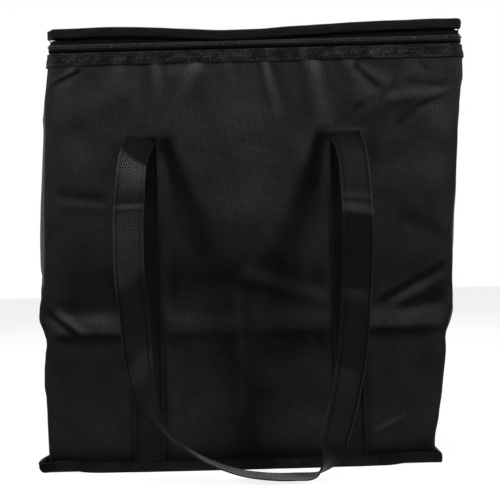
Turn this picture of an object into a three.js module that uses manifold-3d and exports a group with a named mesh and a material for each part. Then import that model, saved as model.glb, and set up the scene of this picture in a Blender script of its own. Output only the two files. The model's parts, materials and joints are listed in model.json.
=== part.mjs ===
// Insulated picnic bag, standing on its base with the zip closed and both handles hanging down.
// Millimetres. X runs to the right along the front wall, the front faces -Y, and Z is up.
// The origin is the centre of the underside, where the bag stands.

import * as THREE from 'three';
import { mergeVertices } from 'three/addons/utils/BufferGeometryUtils.js';
import Module from 'manifold-3d';

const wasm = await Module();
wasm.setup();

// The standing body
const BODY_HEIGHT = 393; // top edge of the wall panels
const DEPTH = 215;
const BASE_WIDTH = 366;
const WAIST_WIDTH = 376; // just under the storage crease
const CREASE_WIDTH = 389; // at the storage crease
const SHOULDER_WIDTH = 392;
const TOP_WIDTH = 388;
const CREASE_HEIGHT = 146; // where the empty bag was folded over for storage
const CREASE_FADE = 28; // height over which the walls draw in below the crease
const SHOULDER_HEIGHT = 303;
const LEAN = 21.6; // the soft body's top stands this far to the right of its base
const CORNER_RADIUS = 8;
const FRONT_SWELL = 9; // how far the front and back walls swell between their corners
const SIDE_SWELL = 14;
const SWELL_ROUNDNESS = 0.75; // under 1, the swell sets in sooner above the base and below the hem
const SWELL_MARGIN = 1; // the swell keeps this far off the base binding and the hem

// Layers of the wall
const FABRIC = 0.8; // non-woven outer fabric
const FOAM = 3;
const LINING = 0.5; // foil lining
const SEAM_GAP = 0.3; // left between pieces that are sewn or laid together
const FOAM_STOP = 2; // the foam ends this far under the sewn-in tape
const LINING_DROP = 1; // the lining ends this far under the wall's top edge

// Edge bindings and the hem
const BINDING_HEIGHT = 11;
const BINDING_THICKNESS = 4.6;
const BINDING_LIFT = 3; // the base binding curls up at the corners
const LIFT_START = 0.6; // share of the half side at which it starts to curl
const HEM_HEIGHT = 12;

// Lid
const LID_BINDING_HEIGHT = 9.5;
const LID_BINDING_THICKNESS = 3.6;
const LID_BINDING_RISE = 8.7; // from the zip's centre line to the underside of the lid's binding
const LID_EDGE_SAG = 4;
const LID_SAG = 7; // further sag of the lid between its edges

// Zip round the front and the sides
const ZIP_RISE = 5.5; // from the wall's top edge to the zip's centre line
const ZIP_TAPE = 0.7;
const TAPE_INSERT = 8; // how deep the lower tape is sewn in below the wall's top edge
const COIL_THICKNESS = 2;
const COIL_HEIGHT = 2.5; // each of the two rows of teeth
const CHAIN_GAP = 1; // between the two rows, where the slider's post passes
const HINGE_GAP = 1; // between the zip's centre line and the lower half of the hinge tape
const END_STOP_LENGTH = 4;

// Slider and its pull tab
const SLIDER_LENGTH = 12;
const SLIDER_HEIGHT = 8.4;
const SLIDER_TAIL = 6.8; // height of the slider's narrow end
const SLIDER_SHOULDER = 2; // length of the slope at its wide end
const SLIDER_NOSE = 1.5; // height of that slope
const PLATE = 1.2;
const BACK_PLATE = 1;
const POST_THICKNESS = 0.4;
const POST_LENGTH = 3;
const SLIDER_PARK = 22; // from the back wall to the parked slider's middle
const CROWN_LENGTH = 9;
const CROWN_WIDTH = 2.4;
const CROWN_HEIGHT = 3.4;
const CROWN_BAR = 1.2;
const CROWN_CHAMFER = 1;
const TAB_LENGTH = 24;
const TAB_WIDTH = 6;
const TAB_THICKNESS = 1.2;
const TAB_ARM = 1.3; // width of the arms beside the tab's eye
const TAB_TIP = 0.8; // width of the rounded tip, as a share of the tab's width
const TAB_PLAY = 0.5; // between the tab's eye and the crown's leg
const OVERLAP = 0.2; // one part of the slider runs this far into the next
const RUNNING_GAP = 0.3;

// Carrying straps, front and back
const STRAP_WIDTH = 28;
const STRAP_THICKNESS = 2;
const STRAP_GAP = 0.6; // a strap's clearance over the soft swell of the wall
const STRAP_SPACING = 188; // between the middles of a wall's two straps
const STRAP_OFFSET = 8.9; // middle of the pair, to the right of the base's middle
const FOLD_HEIGHT = 313; // where the strap leaves the wall and folds over into the loop
const FOLD_RADIUS = 3.5;
const LOOP_STANDOFF = 62; // how far the bottom of the loop hangs off the wall
const LOOP_CLEARANCE = 5.5; // height of the loop's lowest point

// How finely the soft forms are divided
const CORNER_STEP = Math.PI / 8;
const FLAT_STEPS = 6;
const LOOP_STEPS = 44;
const ROLL_STEPS = 12;
const TIP_STEPS = 8;

const TAPE_FACE = -(FABRIC + SEAM_GAP); // the tapes lie just inside the outer fabric
const FOAM_FACE = -(FABRIC + SEAM_GAP);
const LINING_FACE = FOAM_FACE - FOAM - SEAM_GAP;
const ZIP_HEIGHT = BODY_HEIGHT + ZIP_RISE;
const LID_BINDING_LOW = ZIP_HEIGHT + LID_BINDING_RISE;
const LID_LEVEL = LID_BINDING_LOW + LID_BINDING_HEIGHT / 2 - FABRIC; // top of the lid at its edge
const LAYER_FLOOR = FABRIC + SEAM_GAP + FOAM + SEAM_GAP; // underside of the base lining

const SIDES = {
  front: { along: [1, 0], outward: [0, -1] },
  right: { along: [0, 1], outward: [1, 0] },
  back: { along: [-1, 0], outward: [0, 1] },
  left: { along: [0, -1], outward: [-1, 0] },
};

const COLOURS = {
  fabric: new THREE.Color(0.022, 0.022, 0.024),
  foam: new THREE.Color(0.85, 0.86, 0.84),
  foil: new THREE.Color(0.72, 0.73, 0.75),
  binding: new THREE.Color(0.028, 0.028, 0.03),
  tape: new THREE.Color(0.016, 0.016, 0.019),
  teeth: new THREE.Color(0.03, 0.03, 0.036),
  metal: new THREE.Color(0.05, 0.05, 0.055),
};

// The body's outline

// The walls stay flat behind the base binding and the hem, and swell between these heights.
const SWELL_LOW = BINDING_HEIGHT + BINDING_LIFT + SWELL_MARGIN;
const SWELL_HIGH = BODY_HEIGHT - HEM_HEIGHT - SWELL_MARGIN;

// Heights at which a wall bends. It is straight between them, so its layers nest.
const BENDS = [
  0,
  SWELL_LOW,
  (SWELL_LOW + CREASE_HEIGHT - CREASE_FADE) / 2,
  CREASE_HEIGHT - CREASE_FADE,
  CREASE_HEIGHT,
  (CREASE_HEIGHT + SHOULDER_HEIGHT) / 2,
  SHOULDER_HEIGHT,
  (SHOULDER_HEIGHT + SWELL_HIGH) / 2,
  SWELL_HIGH,
  BODY_HEIGHT,
];

// Width of the standing bag at a height.
function fullWidth(z) {
  const levels = [
    [0, BASE_WIDTH],
    [CREASE_HEIGHT - CREASE_FADE, WAIST_WIDTH],
    [CREASE_HEIGHT, CREASE_WIDTH],
    [SHOULDER_HEIGHT, SHOULDER_WIDTH],
    [BODY_HEIGHT, TOP_WIDTH],
  ];
  const next = Math.max(levels.findIndex(([level]) => z <= level), 1);
  const [[low, lowWidth], [high, highWidth]] = [levels[next - 1], levels[next]];
  return THREE.MathUtils.mapLinear(z, low, high, lowWidth, highWidth);
}

// Share of the full swell at a height: none at the base and at the hem.
function fullSwell(z) {
  const share = THREE.MathUtils.clamp((z - SWELL_LOW) / (SWELL_HIGH - SWELL_LOW), 0, 1);
  return Math.abs(Math.sin(Math.PI * share)) ** SWELL_ROUNDNESS;
}

// A value at a height, straight between the wall's bends and level above its top.
function straightened(z, valueAt) {
  const height = THREE.MathUtils.clamp(z, 0, BODY_HEIGHT);
  const next = Math.max(BENDS.findIndex((bend) => height <= bend), 1);
  const [low, high] = [BENDS[next - 1], BENDS[next]];
  return THREE.MathUtils.mapLinear(height, low, high, valueAt(low), valueAt(high));
}

function widthAt(z) {
  return straightened(z, fullWidth);
}

function swellAt(z) {
  return straightened(z, fullSwell);
}

function middleAt(z) {
  return (LEAN * Math.min(z, BODY_HEIGHT)) / BODY_HEIGHT;
}

// A place on the bag's plan is a side, a share of its flat run from -1 to 1, and the angle
// turned into the corner at that end. A mitred place stops short of the corner's middle.
function wallPoint(place, z, out) {
  const { side, share, turn = 0, mitre = false } = place;
  const { along, outward } = SIDES[side];
  const facesFront = side === 'front' || side === 'back';
  const halfAlong = facesFront ? widthAt(z) / 2 : DEPTH / 2;
  const halfOut = facesFront ? DEPTH / 2 : widthAt(z) / 2;
  const radius = CORNER_RADIUS + out;
  const angle = mitre ? turn - (Math.sign(turn) * SEAM_GAP) / 2 / radius : turn;
  const swell = (facesFront ? FRONT_SWELL : SIDE_SWELL) * swellAt(z) * (1 - share * share);
  const a = share * (halfAlong - CORNER_RADIUS) + radius * Math.sin(angle);
  const o = halfOut - CORNER_RADIUS + radius * Math.cos(angle) + swell;
  return new THREE.Vector3(
    middleAt(z) + along[0] * a + outward[0] * o,
    along[1] * a + outward[1] * o,
    z,
  );
}

// Places along one side, between the mitres in the middle of its two corners.
function panelPlaces(side) {
  const places = [
    { side, share: -1, turn: -2 * CORNER_STEP, mitre: true },
    { side, share: -1, turn: -CORNER_STEP },
  ];
  for (let i = 0; i <= FLAT_STEPS; i += 1) places.push({ side, share: (2 * i) / FLAT_STEPS - 1 });
  places.push({ side, share: 1, turn: CORNER_STEP });
  places.push({ side, share: 1, turn: 2 * CORNER_STEP, mitre: true });
  return places;
}

// Places round the left, front and right sides, where the zip runs.
function zipPlaces() {
  const places = [];
  for (const side of ['left', 'front', 'right']) {
    for (let i = 0; i <= FLAT_STEPS; i += 1) places.push({ side, share: (2 * i) / FLAT_STEPS - 1 });
    if (side === 'right') break;
    for (let i = 1; i <= 3; i += 1) places.push({ side, share: 1, turn: i * CORNER_STEP });
  }
  return places;
}

// Making solids

// Six times the volume that the triangles enclose: negative when they face inwards.
function enclosed(points, index) {
  let sum = 0;
  for (let i = 0; i < index.length; i += 3) {
    const [a, b, c] = [points[index[i]], points[index[i + 1]], points[index[i + 2]]];
    sum += a.dot(new THREE.Vector3().crossVectors(b, c));
  }
  return sum;
}

// A closed solid through rings of points. Each ring's second half runs back beside its first
// half, which is how the two ends are filled. A twisted face is split from its lower or front
// corner, so that two layers bend the same way.
function loft(rings) {
  const count = rings[0].length;
  const points = rings.flat();
  const index = [];
  for (let r = 0; r + 1 < rings.length; r += 1) {
    for (let i = 0; i < count; i += 1) {
      const [a, b] = [r * count + i, r * count + ((i + 1) % count)];
      const rising = points[b].y + points[b].z >= points[a].y + points[a].z;
      if (rising) index.push(a, b, b + count, a, b + count, a + count);
      else index.push(a, b, a + count, b, b + count, a + count);
    }
  }
  const last = (rings.length - 1) * count;
  for (let i = 0; i + 1 < count / 2; i += 1) {
    const [a, b, c, d] = [i, i + 1, count - 2 - i, count - 1 - i];
    index.push(a, c, b, a, d, c);
    index.push(last + a, last + b, last + c, last + a, last + c, last + d);
  }
  if (enclosed(points, index) < 0) index.reverse();
  const values = points.flatMap((p) => p.toArray());
  const geometry = new THREE.BufferGeometry();
  geometry.setAttribute('position', new THREE.Float32BufferAttribute(values, 3));
  geometry.setIndex(index);
  return geometry;
}

// A solid along the wall: a section of [out, height] corners at each place. The section
// may depend on the place, as long as its count of corners stays the same.
function sweepWall(places, sectionAt) {
  return loft(places.map((place) => sectionAt(place).map(([out, z]) => wallPoint(place, z, out))));
}

function rectangle(face, thickness, low, high) {
  return [[face, low], [face, high], [face - thickness, high], [face - thickness, low]];
}

// A rounded bar's section, as a rolled edge binding has.
function rolledSection(inner, thickness, low, height) {
  const corner = thickness / 3;
  const [outer, high] = [inner + thickness, low + height];
  return [
    [inner, low + corner],
    [inner, high - corner],
    [inner + corner, high],
    [outer - corner, high],
    [outer, high - corner],
    [outer, low + corner],
    [outer - corner, low],
    [inner + corner, low],
  ];
}

function solidFrom(geometry) {
  const bare = geometry.clone();
  bare.deleteAttribute('normal');
  bare.deleteAttribute('uv');
  const merged = mergeVertices(bare, 1e-4);
  return new wasm.Manifold(
    new wasm.Mesh({
      numProp: 3,
      vertProperties: Float32Array.from(merged.attributes.position.array),
      triVerts: Uint32Array.from(merged.index.array),
    }),
  );
}

function geometryFrom(solid) {
  const mesh = solid.getMesh();
  const geometry = new THREE.BufferGeometry();
  geometry.setAttribute('position', new THREE.BufferAttribute(mesh.vertProperties, 3));
  geometry.setIndex(new THREE.BufferAttribute(mesh.triVerts, 1));
  return geometry;
}

// The bag's parts, gathered in one group

const bag = new THREE.Group();

function addPiece(name, geometry, colour, roughness, metalness = 0) {
  const material = new THREE.MeshStandardMaterial({ color: COLOURS[colour], roughness, metalness });
  const mesh = new THREE.Mesh(geometry, material);
  mesh.name = name;
  bag.add(mesh);
  return mesh;
}

// Walls

// A wall piece's lower and upper edges, with the bends between them.
function wallLevels(low, high) {
  return [low, ...BENDS.filter((bend) => bend > low && bend < high), high];
}

function wallSection(face, thickness, low, high) {
  const levels = wallLevels(low, high);
  const outer = levels.map((z) => [face, z]);
  const inner = levels.map((z) => [face - thickness, z]).reverse();
  return [...outer, ...inner];
}

const FOAM_TOP = BODY_HEIGHT - TAPE_INSERT - SEAM_GAP - FOAM_STOP;
const LINING_TOP = BODY_HEIGHT - LINING_DROP;

// The lining's top turns outwards over the foam, to where the tape is sewn.
function liningSection() {
  const levels = wallLevels(LAYER_FLOOR + LINING + SEAM_GAP, FOAM_TOP + SEAM_GAP);
  const top = TAPE_FACE - ZIP_TAPE - SEAM_GAP;
  const outer = levels.map((z) => [LINING_FACE, z]);
  const inner = levels.map((z) => [LINING_FACE - LINING, z]).reverse();
  return [...outer, [top, LINING_TOP], [top - LINING, LINING_TOP], ...inner];
}

function addWalls() {
  const names = { front: 'panel', back: 'panel', left: 'gusset', right: 'gusset' };
  for (const side of Object.keys(SIDES)) {
    const places = panelPlaces(side);
    const outer = wallSection(0, FABRIC, FABRIC + SEAM_GAP, BODY_HEIGHT);
    addPiece(`${side}_outer_${names[side]}`, sweepWall(places, () => outer), 'fabric', 0.85);
    const foam = wallSection(FOAM_FACE, FOAM, LAYER_FLOOR, FOAM_TOP);
    addPiece(`${side}_foam`, sweepWall(places, () => foam), 'foam', 0.9);
    addPiece(`${side}_lining`, sweepWall(places, liningSection), 'foil', 0.35, 0.6);
  }
}

// Base

// A flat layer of the base, inside the walls' outline moved in by an offset.
function baseLayer(out, low, thickness) {
  const outline = Object.keys(SIDES).flatMap((side) => {
    const places = panelPlaces(side).slice(1, -1);
    return places.map((place) => wallPoint(place, low, out));
  });
  return loft([low, low + thickness].map((z) => outline.map((p) => new THREE.Vector3(p.x, p.y, z))));
}

function addBase() {
  addPiece('bottom_outer_panel', baseLayer(0, 0, FABRIC), 'fabric', 0.85);
  addPiece('bottom_foam', baseLayer(FOAM_FACE, FABRIC + SEAM_GAP, FOAM), 'foam', 0.9);
  addPiece('bottom_lining', baseLayer(LINING_FACE, LAYER_FLOOR, LINING), 'foil', 0.35, 0.6);
}

// How far into a corner a place is: nothing along most of the side, 1 at its end.
function cornerShare(place) {
  return THREE.MathUtils.smoothstep(Math.abs(place.share), LIFT_START, 1);
}

function addBaseBindings() {
  for (const side of Object.keys(SIDES)) {
    const section = (place) => {
      const lift = BINDING_LIFT * cornerShare(place);
      return rolledSection(SEAM_GAP, BINDING_THICKNESS, lift, BINDING_HEIGHT);
    };
    addPiece(`${side}_base_binding`, sweepWall(panelPlaces(side), section), 'binding', 0.8);
  }
}

function addHems() {
  for (const side of Object.keys(SIDES)) {
    const hem = rectangle(SEAM_GAP + FABRIC, FABRIC, BODY_HEIGHT - HEM_HEIGHT, BODY_HEIGHT);
    addPiece(`${side}_top_hem`, sweepWall(panelPlaces(side), () => hem), 'fabric', 0.85);
  }
}

// Lid

function edgeSag(place) {
  const facesFront = place.side === 'front' || place.side === 'back';
  return facesFront ? LID_EDGE_SAG * (1 - place.share * place.share) : 0;
}

// A layer of the lid: its plan is the walls' outline moved in, and it sags in the middle.
function lidLayer(out, top, thickness) {
  const places = [];
  for (const steps of [-4, -3, -2, -1]) places.push({ share: -1, turn: steps * CORNER_STEP });
  for (let i = 0; i <= FLAT_STEPS; i += 1) places.push({ share: (2 * i) / FLAT_STEPS - 1, turn: 0 });
  for (const steps of [1, 2, 3, 4]) places.push({ share: 1, turn: steps * CORNER_STEP });
  const radius = CORNER_RADIUS + out;
  const rings = places.map(({ share, turn }) => {
    const x = LEAN + share * (TOP_WIDTH / 2 - CORNER_RADIUS) + radius * Math.sin(turn);
    const reach = DEPTH / 2 - CORNER_RADIUS + radius * Math.cos(turn);
    const upper = [-1, -0.5, 0, 0.5, 1].map((depth) => {
      const sag = (1 - share * share) * (LID_EDGE_SAG + LID_SAG * (1 - depth * depth));
      return new THREE.Vector3(x, depth * reach, top - sag);
    });
    return [...upper, ...upper.map((p) => new THREE.Vector3(p.x, p.y, p.z - thickness)).reverse()];
  });
  return loft(rings);
}

function addLid() {
  const inside = TAPE_FACE - ZIP_TAPE - SEAM_GAP;
  const foamTop = LID_LEVEL - FABRIC - SEAM_GAP;
  addPiece('lid_outer_panel', lidLayer(TAPE_FACE, LID_LEVEL, FABRIC), 'fabric', 0.85);
  addPiece('lid_foam', lidLayer(inside, foamTop, FOAM), 'foam', 0.9);
  addPiece('lid_lining', lidLayer(inside, foamTop - FOAM - SEAM_GAP, LINING), 'foil', 0.35, 0.6);
  for (const side of Object.keys(SIDES)) {
    const section = (place) => {
      const low = LID_BINDING_LOW - edgeSag(place);
      return rolledSection(TAPE_FACE + SEAM_GAP, LID_BINDING_THICKNESS, low, LID_BINDING_HEIGHT);
    };
    addPiece(`lid_binding_${side}`, sweepWall(panelPlaces(side), section), 'binding', 0.8);
  }
}

// Zip

const TAPE_LOW = BODY_HEIGHT - TAPE_INSERT;
const TAPE_HIGH = LID_LEVEL - FABRIC - SEAM_GAP; // the upper tape ends under the lid's fabric
const COIL_FACE = TAPE_FACE + SEAM_GAP;

function coilSection(low) {
  const bevel = COIL_HEIGHT / 4;
  const [outer, high] = [COIL_FACE + COIL_THICKNESS, low + COIL_HEIGHT];
  return [
    [COIL_FACE, low],
    [COIL_FACE, high],
    [outer - bevel, high],
    [outer, high - bevel],
    [outer, low + bevel],
    [outer - bevel, low],
  ];
}

// The tape is in three lengths. The front one turns both front corners, so that the side ones
// are straight where the slider runs beside them.
function tapeLengths() {
  const places = zipPlaces();
  const joint = SEAM_GAP / (DEPTH / 2 - CORNER_RADIUS);
  const turned = places.length - FLAT_STEPS;
  return {
    left: [...places.slice(0, FLAT_STEPS), { side: 'left', share: 1 - joint }],
    front: places.slice(FLAT_STEPS, turned),
    right: [{ side: 'right', share: joint - 1 }, ...places.slice(turned)],
  };
}

function addZip() {
  const chain = CHAIN_GAP / 2;
  const lower = wallSection(TAPE_FACE, ZIP_TAPE, TAPE_LOW, ZIP_HEIGHT - chain);
  const upper = (place) => rectangle(TAPE_FACE, ZIP_TAPE, ZIP_HEIGHT + chain, TAPE_HIGH - edgeSag(place));
  for (const [side, places] of Object.entries(tapeLengths())) {
    addPiece(`lower_zip_tape_${side}`, sweepWall(places, () => lower), 'tape', 0.8);
    addPiece(`upper_zip_tape_${side}`, sweepWall(places, upper), 'tape', 0.8);
  }
  const places = zipPlaces();
  const lowerRow = coilSection(ZIP_HEIGHT - chain - COIL_HEIGHT);
  const upperRow = coilSection(ZIP_HEIGHT + chain);
  addPiece('lower_zip_coil', sweepWall(places, () => lowerRow), 'teeth', 0.5);
  addPiece('upper_zip_coil', sweepWall(places, () => upperRow), 'teeth', 0.5);
}

// The strip that joins the lid to the back wall folds on the zip's level, so it is two halves.
function addHinge() {
  const places = [];
  for (let i = 0; i <= FLAT_STEPS; i += 1) places.push({ side: 'back', share: (2 * i) / FLAT_STEPS - 1 });
  const lower = wallSection(TAPE_FACE, ZIP_TAPE, TAPE_LOW, ZIP_HEIGHT - HINGE_GAP);
  addPiece('hinge_tape', sweepWall(places, () => lower), 'tape', 0.8);
  const low = ZIP_HEIGHT + HINGE_GAP / 2;
  const upper = (place) => rectangle(TAPE_FACE, ZIP_TAPE, low, TAPE_HIGH - edgeSag(place));
  addPiece('lid_hinge_tape', sweepWall(places, upper), 'tape', 0.8);
}

// A folded tab closes each end of the lower row of teeth, round the back corners.
function addEndStops() {
  const low = ZIP_HEIGHT - CHAIN_GAP / 2 - COIL_HEIGHT;
  const section = rectangle(COIL_FACE + COIL_THICKNESS, COIL_THICKNESS, low, low + COIL_HEIGHT);
  const reach = END_STOP_LENGTH / CORNER_RADIUS;
  const gap = SEAM_GAP / CORNER_RADIUS;
  const ends = { left: [-1, -gap, -reach], right: [1, gap, reach] };
  for (const [side, [share, near, far]] of Object.entries(ends)) {
    const places = [near, (near + far) / 2, far].map((turn) => ({ side, share, turn }));
    addPiece(`zip_end_stop_${side}`, sweepWall(places, () => section), 'tape', 0.8);
  }
}

// Slider

function box(width, depth, height, x, y, z) {
  return solidFrom(new THREE.BoxGeometry(width, depth, height).translate(x, y, z));
}

// A plate in the YZ plane, from its outline of [y, z] corners, between two values of X.
function plate(corners, low, high) {
  const shape = new THREE.Shape(corners.map(([y, z]) => new THREE.Vector2(y, z)));
  const flat = new THREE.ExtrudeGeometry(shape, { depth: high - low, bevelEnabled: false });
  flat.applyMatrix4(new THREE.Matrix4().set(0, 0, 1, low, 1, 0, 0, 0, 0, 1, 0, 0, 0, 0, 0, 1));
  return solidFrom(flat);
}

const CHAIN_FACE = COIL_FACE + COIL_THICKNESS;
const PLATE_BACK = CHAIN_FACE + RUNNING_GAP;
const PLATE_FACE = PLATE_BACK + PLATE;
const TAB_PIVOT = PLATE_FACE + (CROWN_HEIGHT - CROWN_BAR) / 2; // in the middle of the arch

// The slider straddles the chain: a front plate, a back plate behind the tape, the post
// that joins them between the rows of teeth, a flange under the lower row, and the crown.
function sliderBody() {
  const half = SLIDER_LENGTH / 2;
  const [wide, tail] = [SLIDER_HEIGHT / 2, SLIDER_TAIL / 2];
  const [shoulder, nose] = [half - SLIDER_SHOULDER, wide - SLIDER_NOSE];
  const upper = [[-half, tail], [shoulder, wide], [half, nose]];
  const outline = [...upper, ...upper.map(([y, z]) => [y, -z]).reverse()];
  const rear = TAPE_FACE - ZIP_TAPE - RUNNING_GAP;
  const span = PLATE_BACK - rear;
  const postAt = half - POST_LENGTH / 2;
  const flangeTop = -CHAIN_GAP / 2 - COIL_HEIGHT - RUNNING_GAP;
  const wedge = plate(outline, COIL_FACE + RUNNING_GAP, PLATE_BACK + OVERLAP);
  const below = box(4 * span, SLIDER_LENGTH, wide, PLATE_BACK, 0, flangeTop - wide / 2);
  const solid = plate(outline, PLATE_BACK, PLATE_FACE)
    .add(plate(outline, rear - BACK_PLATE, rear))
    .add(box(span + 2 * OVERLAP, POST_LENGTH, POST_THICKNESS, rear + span / 2, postAt, 0))
    .add(wedge.intersect(below))
    .add(crown());
  return geometryFrom(solid);
}

// The arch on the slider's front plate that holds the pull tab.
function crown() {
  const foot = CROWN_LENGTH / 2;
  const leg = foot - CROWN_BAR;
  const [low, roof] = [PLATE_FACE - OVERLAP, PLATE_FACE + CROWN_HEIGHT];
  const rise = [[-foot, low], [-foot, roof - CROWN_CHAMFER], [-foot + CROWN_CHAMFER, roof]];
  const outer = [...rise, ...rise.map(([y, x]) => [-y, x]).reverse()];
  const inner = [[leg, low], [leg, roof - CROWN_BAR], [-leg, roof - CROWN_BAR], [-leg, low]];
  const arch = new THREE.Shape([...outer, ...inner].map(([y, x]) => new THREE.Vector2(x, y)));
  const bar = new THREE.ExtrudeGeometry(arch, { depth: CROWN_WIDTH, bevelEnabled: false });
  return solidFrom(bar.translate(0, 0, -CROWN_WIDTH / 2));
}

// The tab's eye is threaded on the crown, its bar under the arch. It points to the front.
function pullTab() {
  const shape = new THREE.Shape();
  const half = TAB_WIDTH / 2;
  const tip = half * TAB_TIP;
  const bar = TAB_THICKNESS / 2;
  shape.moveTo(bar, -half);
  shape.lineTo(bar, half);
  shape.lineTo(-TAB_LENGTH + tip, tip);
  shape.absarc(-TAB_LENGTH + tip, 0, tip, Math.PI / 2, (3 * Math.PI) / 2, false);
  shape.closePath();
  const eye = new THREE.Path();
  const eyeEnd = -(CROWN_LENGTH / 2 + TAB_PLAY);
  const eyeHalf = half - TAB_ARM;
  eye.moveTo(-bar, -eyeHalf);
  eye.lineTo(eyeEnd, -eyeHalf);
  eye.lineTo(eyeEnd, eyeHalf);
  eye.lineTo(-bar, eyeHalf);
  eye.closePath();
  shape.holes.push(eye);
  const extrusion = { depth: TAB_THICKNESS, bevelEnabled: false, curveSegments: TIP_STEPS };
  const flat = new THREE.ExtrudeGeometry(shape, extrusion);
  const turned = new THREE.Matrix4().set(0, 0, 1, -bar, 1, 0, 0, 0, 0, 1, 0, 0, 0, 0, 0, 1);
  return geometryFrom(solidFrom(flat.applyMatrix4(turned)));
}

function addSlider() {
  const wall = LEAN + TOP_WIDTH / 2;
  const parked = DEPTH / 2 - SLIDER_PARK;
  const slider = addPiece('zip_slider', sliderBody(), 'metal', 0.45, 0.7);
  slider.position.set(wall, parked, ZIP_HEIGHT);
  const tab = addPiece('zip_pull_tab', pullTab(), 'metal', 0.45, 0.7);
  tab.position.set(wall + TAB_PIVOT, parked, ZIP_HEIGHT);
}

// Carrying straps

const FOLD_AXIS_HEIGHT = FOLD_HEIGHT - FOLD_RADIUS;

// Distance of a wall's surface from the middle plane, where a strap at x lies on it.
function wallReach(side, x, z) {
  const run = widthAt(z) / 2 - CORNER_RADIUS;
  const share = (SIDES[side].along[0] * (x - middleAt(z))) / run;
  return Math.abs(wallPoint({ side, share }, z, 0).y);
}

// A strap sewn up the wall, from the base binding to the fold.
function sewnStrap(side, middle) {
  const low = BINDING_HEIGHT + SEAM_GAP;
  const high = FOLD_AXIS_HEIGHT - FOLD_RADIUS - SEAM_GAP;
  const facing = SIDES[side].outward[1];
  const [near, far] = [STRAP_GAP, STRAP_GAP + STRAP_THICKNESS];
  const [left, right] = [middle - STRAP_WIDTH / 2, middle + STRAP_WIDTH / 2];
  const corners = [[left, near], [left, far], [right, far], [right, near]];
  const rings = wallLevels(low, high).map((z) => (
    corners.map(([x, out]) => new THREE.Vector3(x, facing * (wallReach(side, x, z) + out), z))
  ));
  return loft(rings);
}

// The loop's middle line and twist, from the left fold down, across and up to the right one.
// Each row holds the share of half the spacing, of the drop and of the stand-off, and the twist.
const LOOP_ROUTE = [
  [-1.0, 0.0, 0.06, 0],
  [-1.08, 0.08, 0.26, 8],
  [-1.12, 0.25, 0.56, 14],
  [-1.09, 0.48, 0.77, 16],
  [-1.03, 0.66, 0.87, 26],
  [-0.93, 0.8, 0.94, 52],
  [-0.72, 0.885, 0.97, 78],
  [-0.4, 0.95, 1.0, 88],
  [0.0, 0.99, 1.0, 90],
  [0.4, 1.0, 1.0, 92],
  [0.62, 0.985, 0.98, 112],
  [0.745, 0.93, 0.95, 145],
  [0.88, 0.8, 0.87, 160],
  [1.0, 0.62, 0.75, 164],
  [1.07, 0.36, 0.6, 170],
  [1.09, 0.1, 0.28, 175],
  [1.0, 0.0, 0.06, 180],
];

// The two folds of a wall lie on one line, which clears the wall at both straps.
function foldReach(side) {
  const sides = [-1, 1].map((k) => STRAP_OFFSET + (k * STRAP_SPACING) / 2);
  const reaches = sides.map((x) => wallReach(side, x, FOLD_AXIS_HEIGHT));
  return Math.max(...reaches) + STRAP_GAP + FOLD_RADIUS;
}

// A handle loop in its own axes: X along the wall, -Y off the wall, Z up, from the fold line.
function handleLoop() {
  const drop = FOLD_AXIS_HEIGHT - LOOP_CLEARANCE - STRAP_THICKNESS / 2;
  const route = LOOP_ROUTE.map(([across, down, off]) => {
    const away = (off - LOOP_ROUTE[0][2]) * LOOP_STANDOFF;
    return new THREE.Vector3((across * STRAP_SPACING) / 2, -away, -down * drop);
  });
  const curve = new THREE.CatmullRomCurve3(route, false, 'centripetal');
  const rings = [];
  for (let i = 0; i <= LOOP_STEPS; i += 1) {
    const t = i / LOOP_STEPS;
    const step = Math.min(Math.floor(t * (LOOP_ROUTE.length - 1)), LOOP_ROUTE.length - 2);
    const part = t * (LOOP_ROUTE.length - 1) - step;
    const degrees = THREE.MathUtils.lerp(LOOP_ROUTE[step][3], LOOP_ROUTE[step + 1][3], part);
    const twist = THREE.MathUtils.degToRad(degrees);
    const middle = curve.getPoint(t);
    const tangent = curve.getTangent(t);
    const width = new THREE.Vector3(Math.cos(twist), -Math.sin(twist), 0);
    width.addScaledVector(tangent, -width.dot(tangent)).normalize();
    const normal = new THREE.Vector3().crossVectors(tangent, width);
    const corners = [[-1, -1], [1, -1], [1, 1], [-1, 1]];
    rings.push(corners.map(([w, n]) => (
      middle.clone()
        .addScaledVector(width, (w * STRAP_WIDTH) / 2)
        .addScaledVector(normal, (n * STRAP_THICKNESS) / 2)
    )));
  }
  let solid = solidFrom(loft(rings));
  for (const side of [-1, 1]) {
    const roll = new THREE.CylinderGeometry(FOLD_RADIUS, FOLD_RADIUS, STRAP_WIDTH, ROLL_STEPS);
    roll.rotateZ(Math.PI / 2).translate((side * STRAP_SPACING) / 2, 0, 0);
    solid = solid.add(solidFrom(roll));
  }
  return geometryFrom(solid);
}

function addStraps() {
  for (const [side, turn] of [['front', 0], ['back', Math.PI]]) {
    for (const [hand, k] of [['left', -1], ['right', 1]]) {
      const middle = STRAP_OFFSET + (k * STRAP_SPACING) / 2;
      addPiece(`${side}_${hand}_sewn_strap`, sewnStrap(side, middle), 'fabric', 0.85);
    }
    const loop = addPiece(`${side}_handle_loop`, handleLoop(), 'fabric', 0.85);
    loop.rotation.z = turn;
    loop.position.set(STRAP_OFFSET, SIDES[side].outward[1] * foldReach(side), FOLD_AXIS_HEIGHT);
  }
}

addWalls();
addBase();
addBaseBindings();
addHems();
addLid();
addZip();
addHinge();
addEndStops();
addSlider();
addStraps();

export default bag;
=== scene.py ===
# %% [markdown]
# # An insulated picnic bag
# The bag is sewn from black non-woven fabric over thin foam, with a foil lining, a zipped lid
# and two flat carrying straps. The working model gives every size, joint and body. This lesson
# dresses it: each soft piece is made again with its folds, seams and stitches, each in the
# place that the working model keeps for it.

# %% Load the working model
import json
import math

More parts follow.
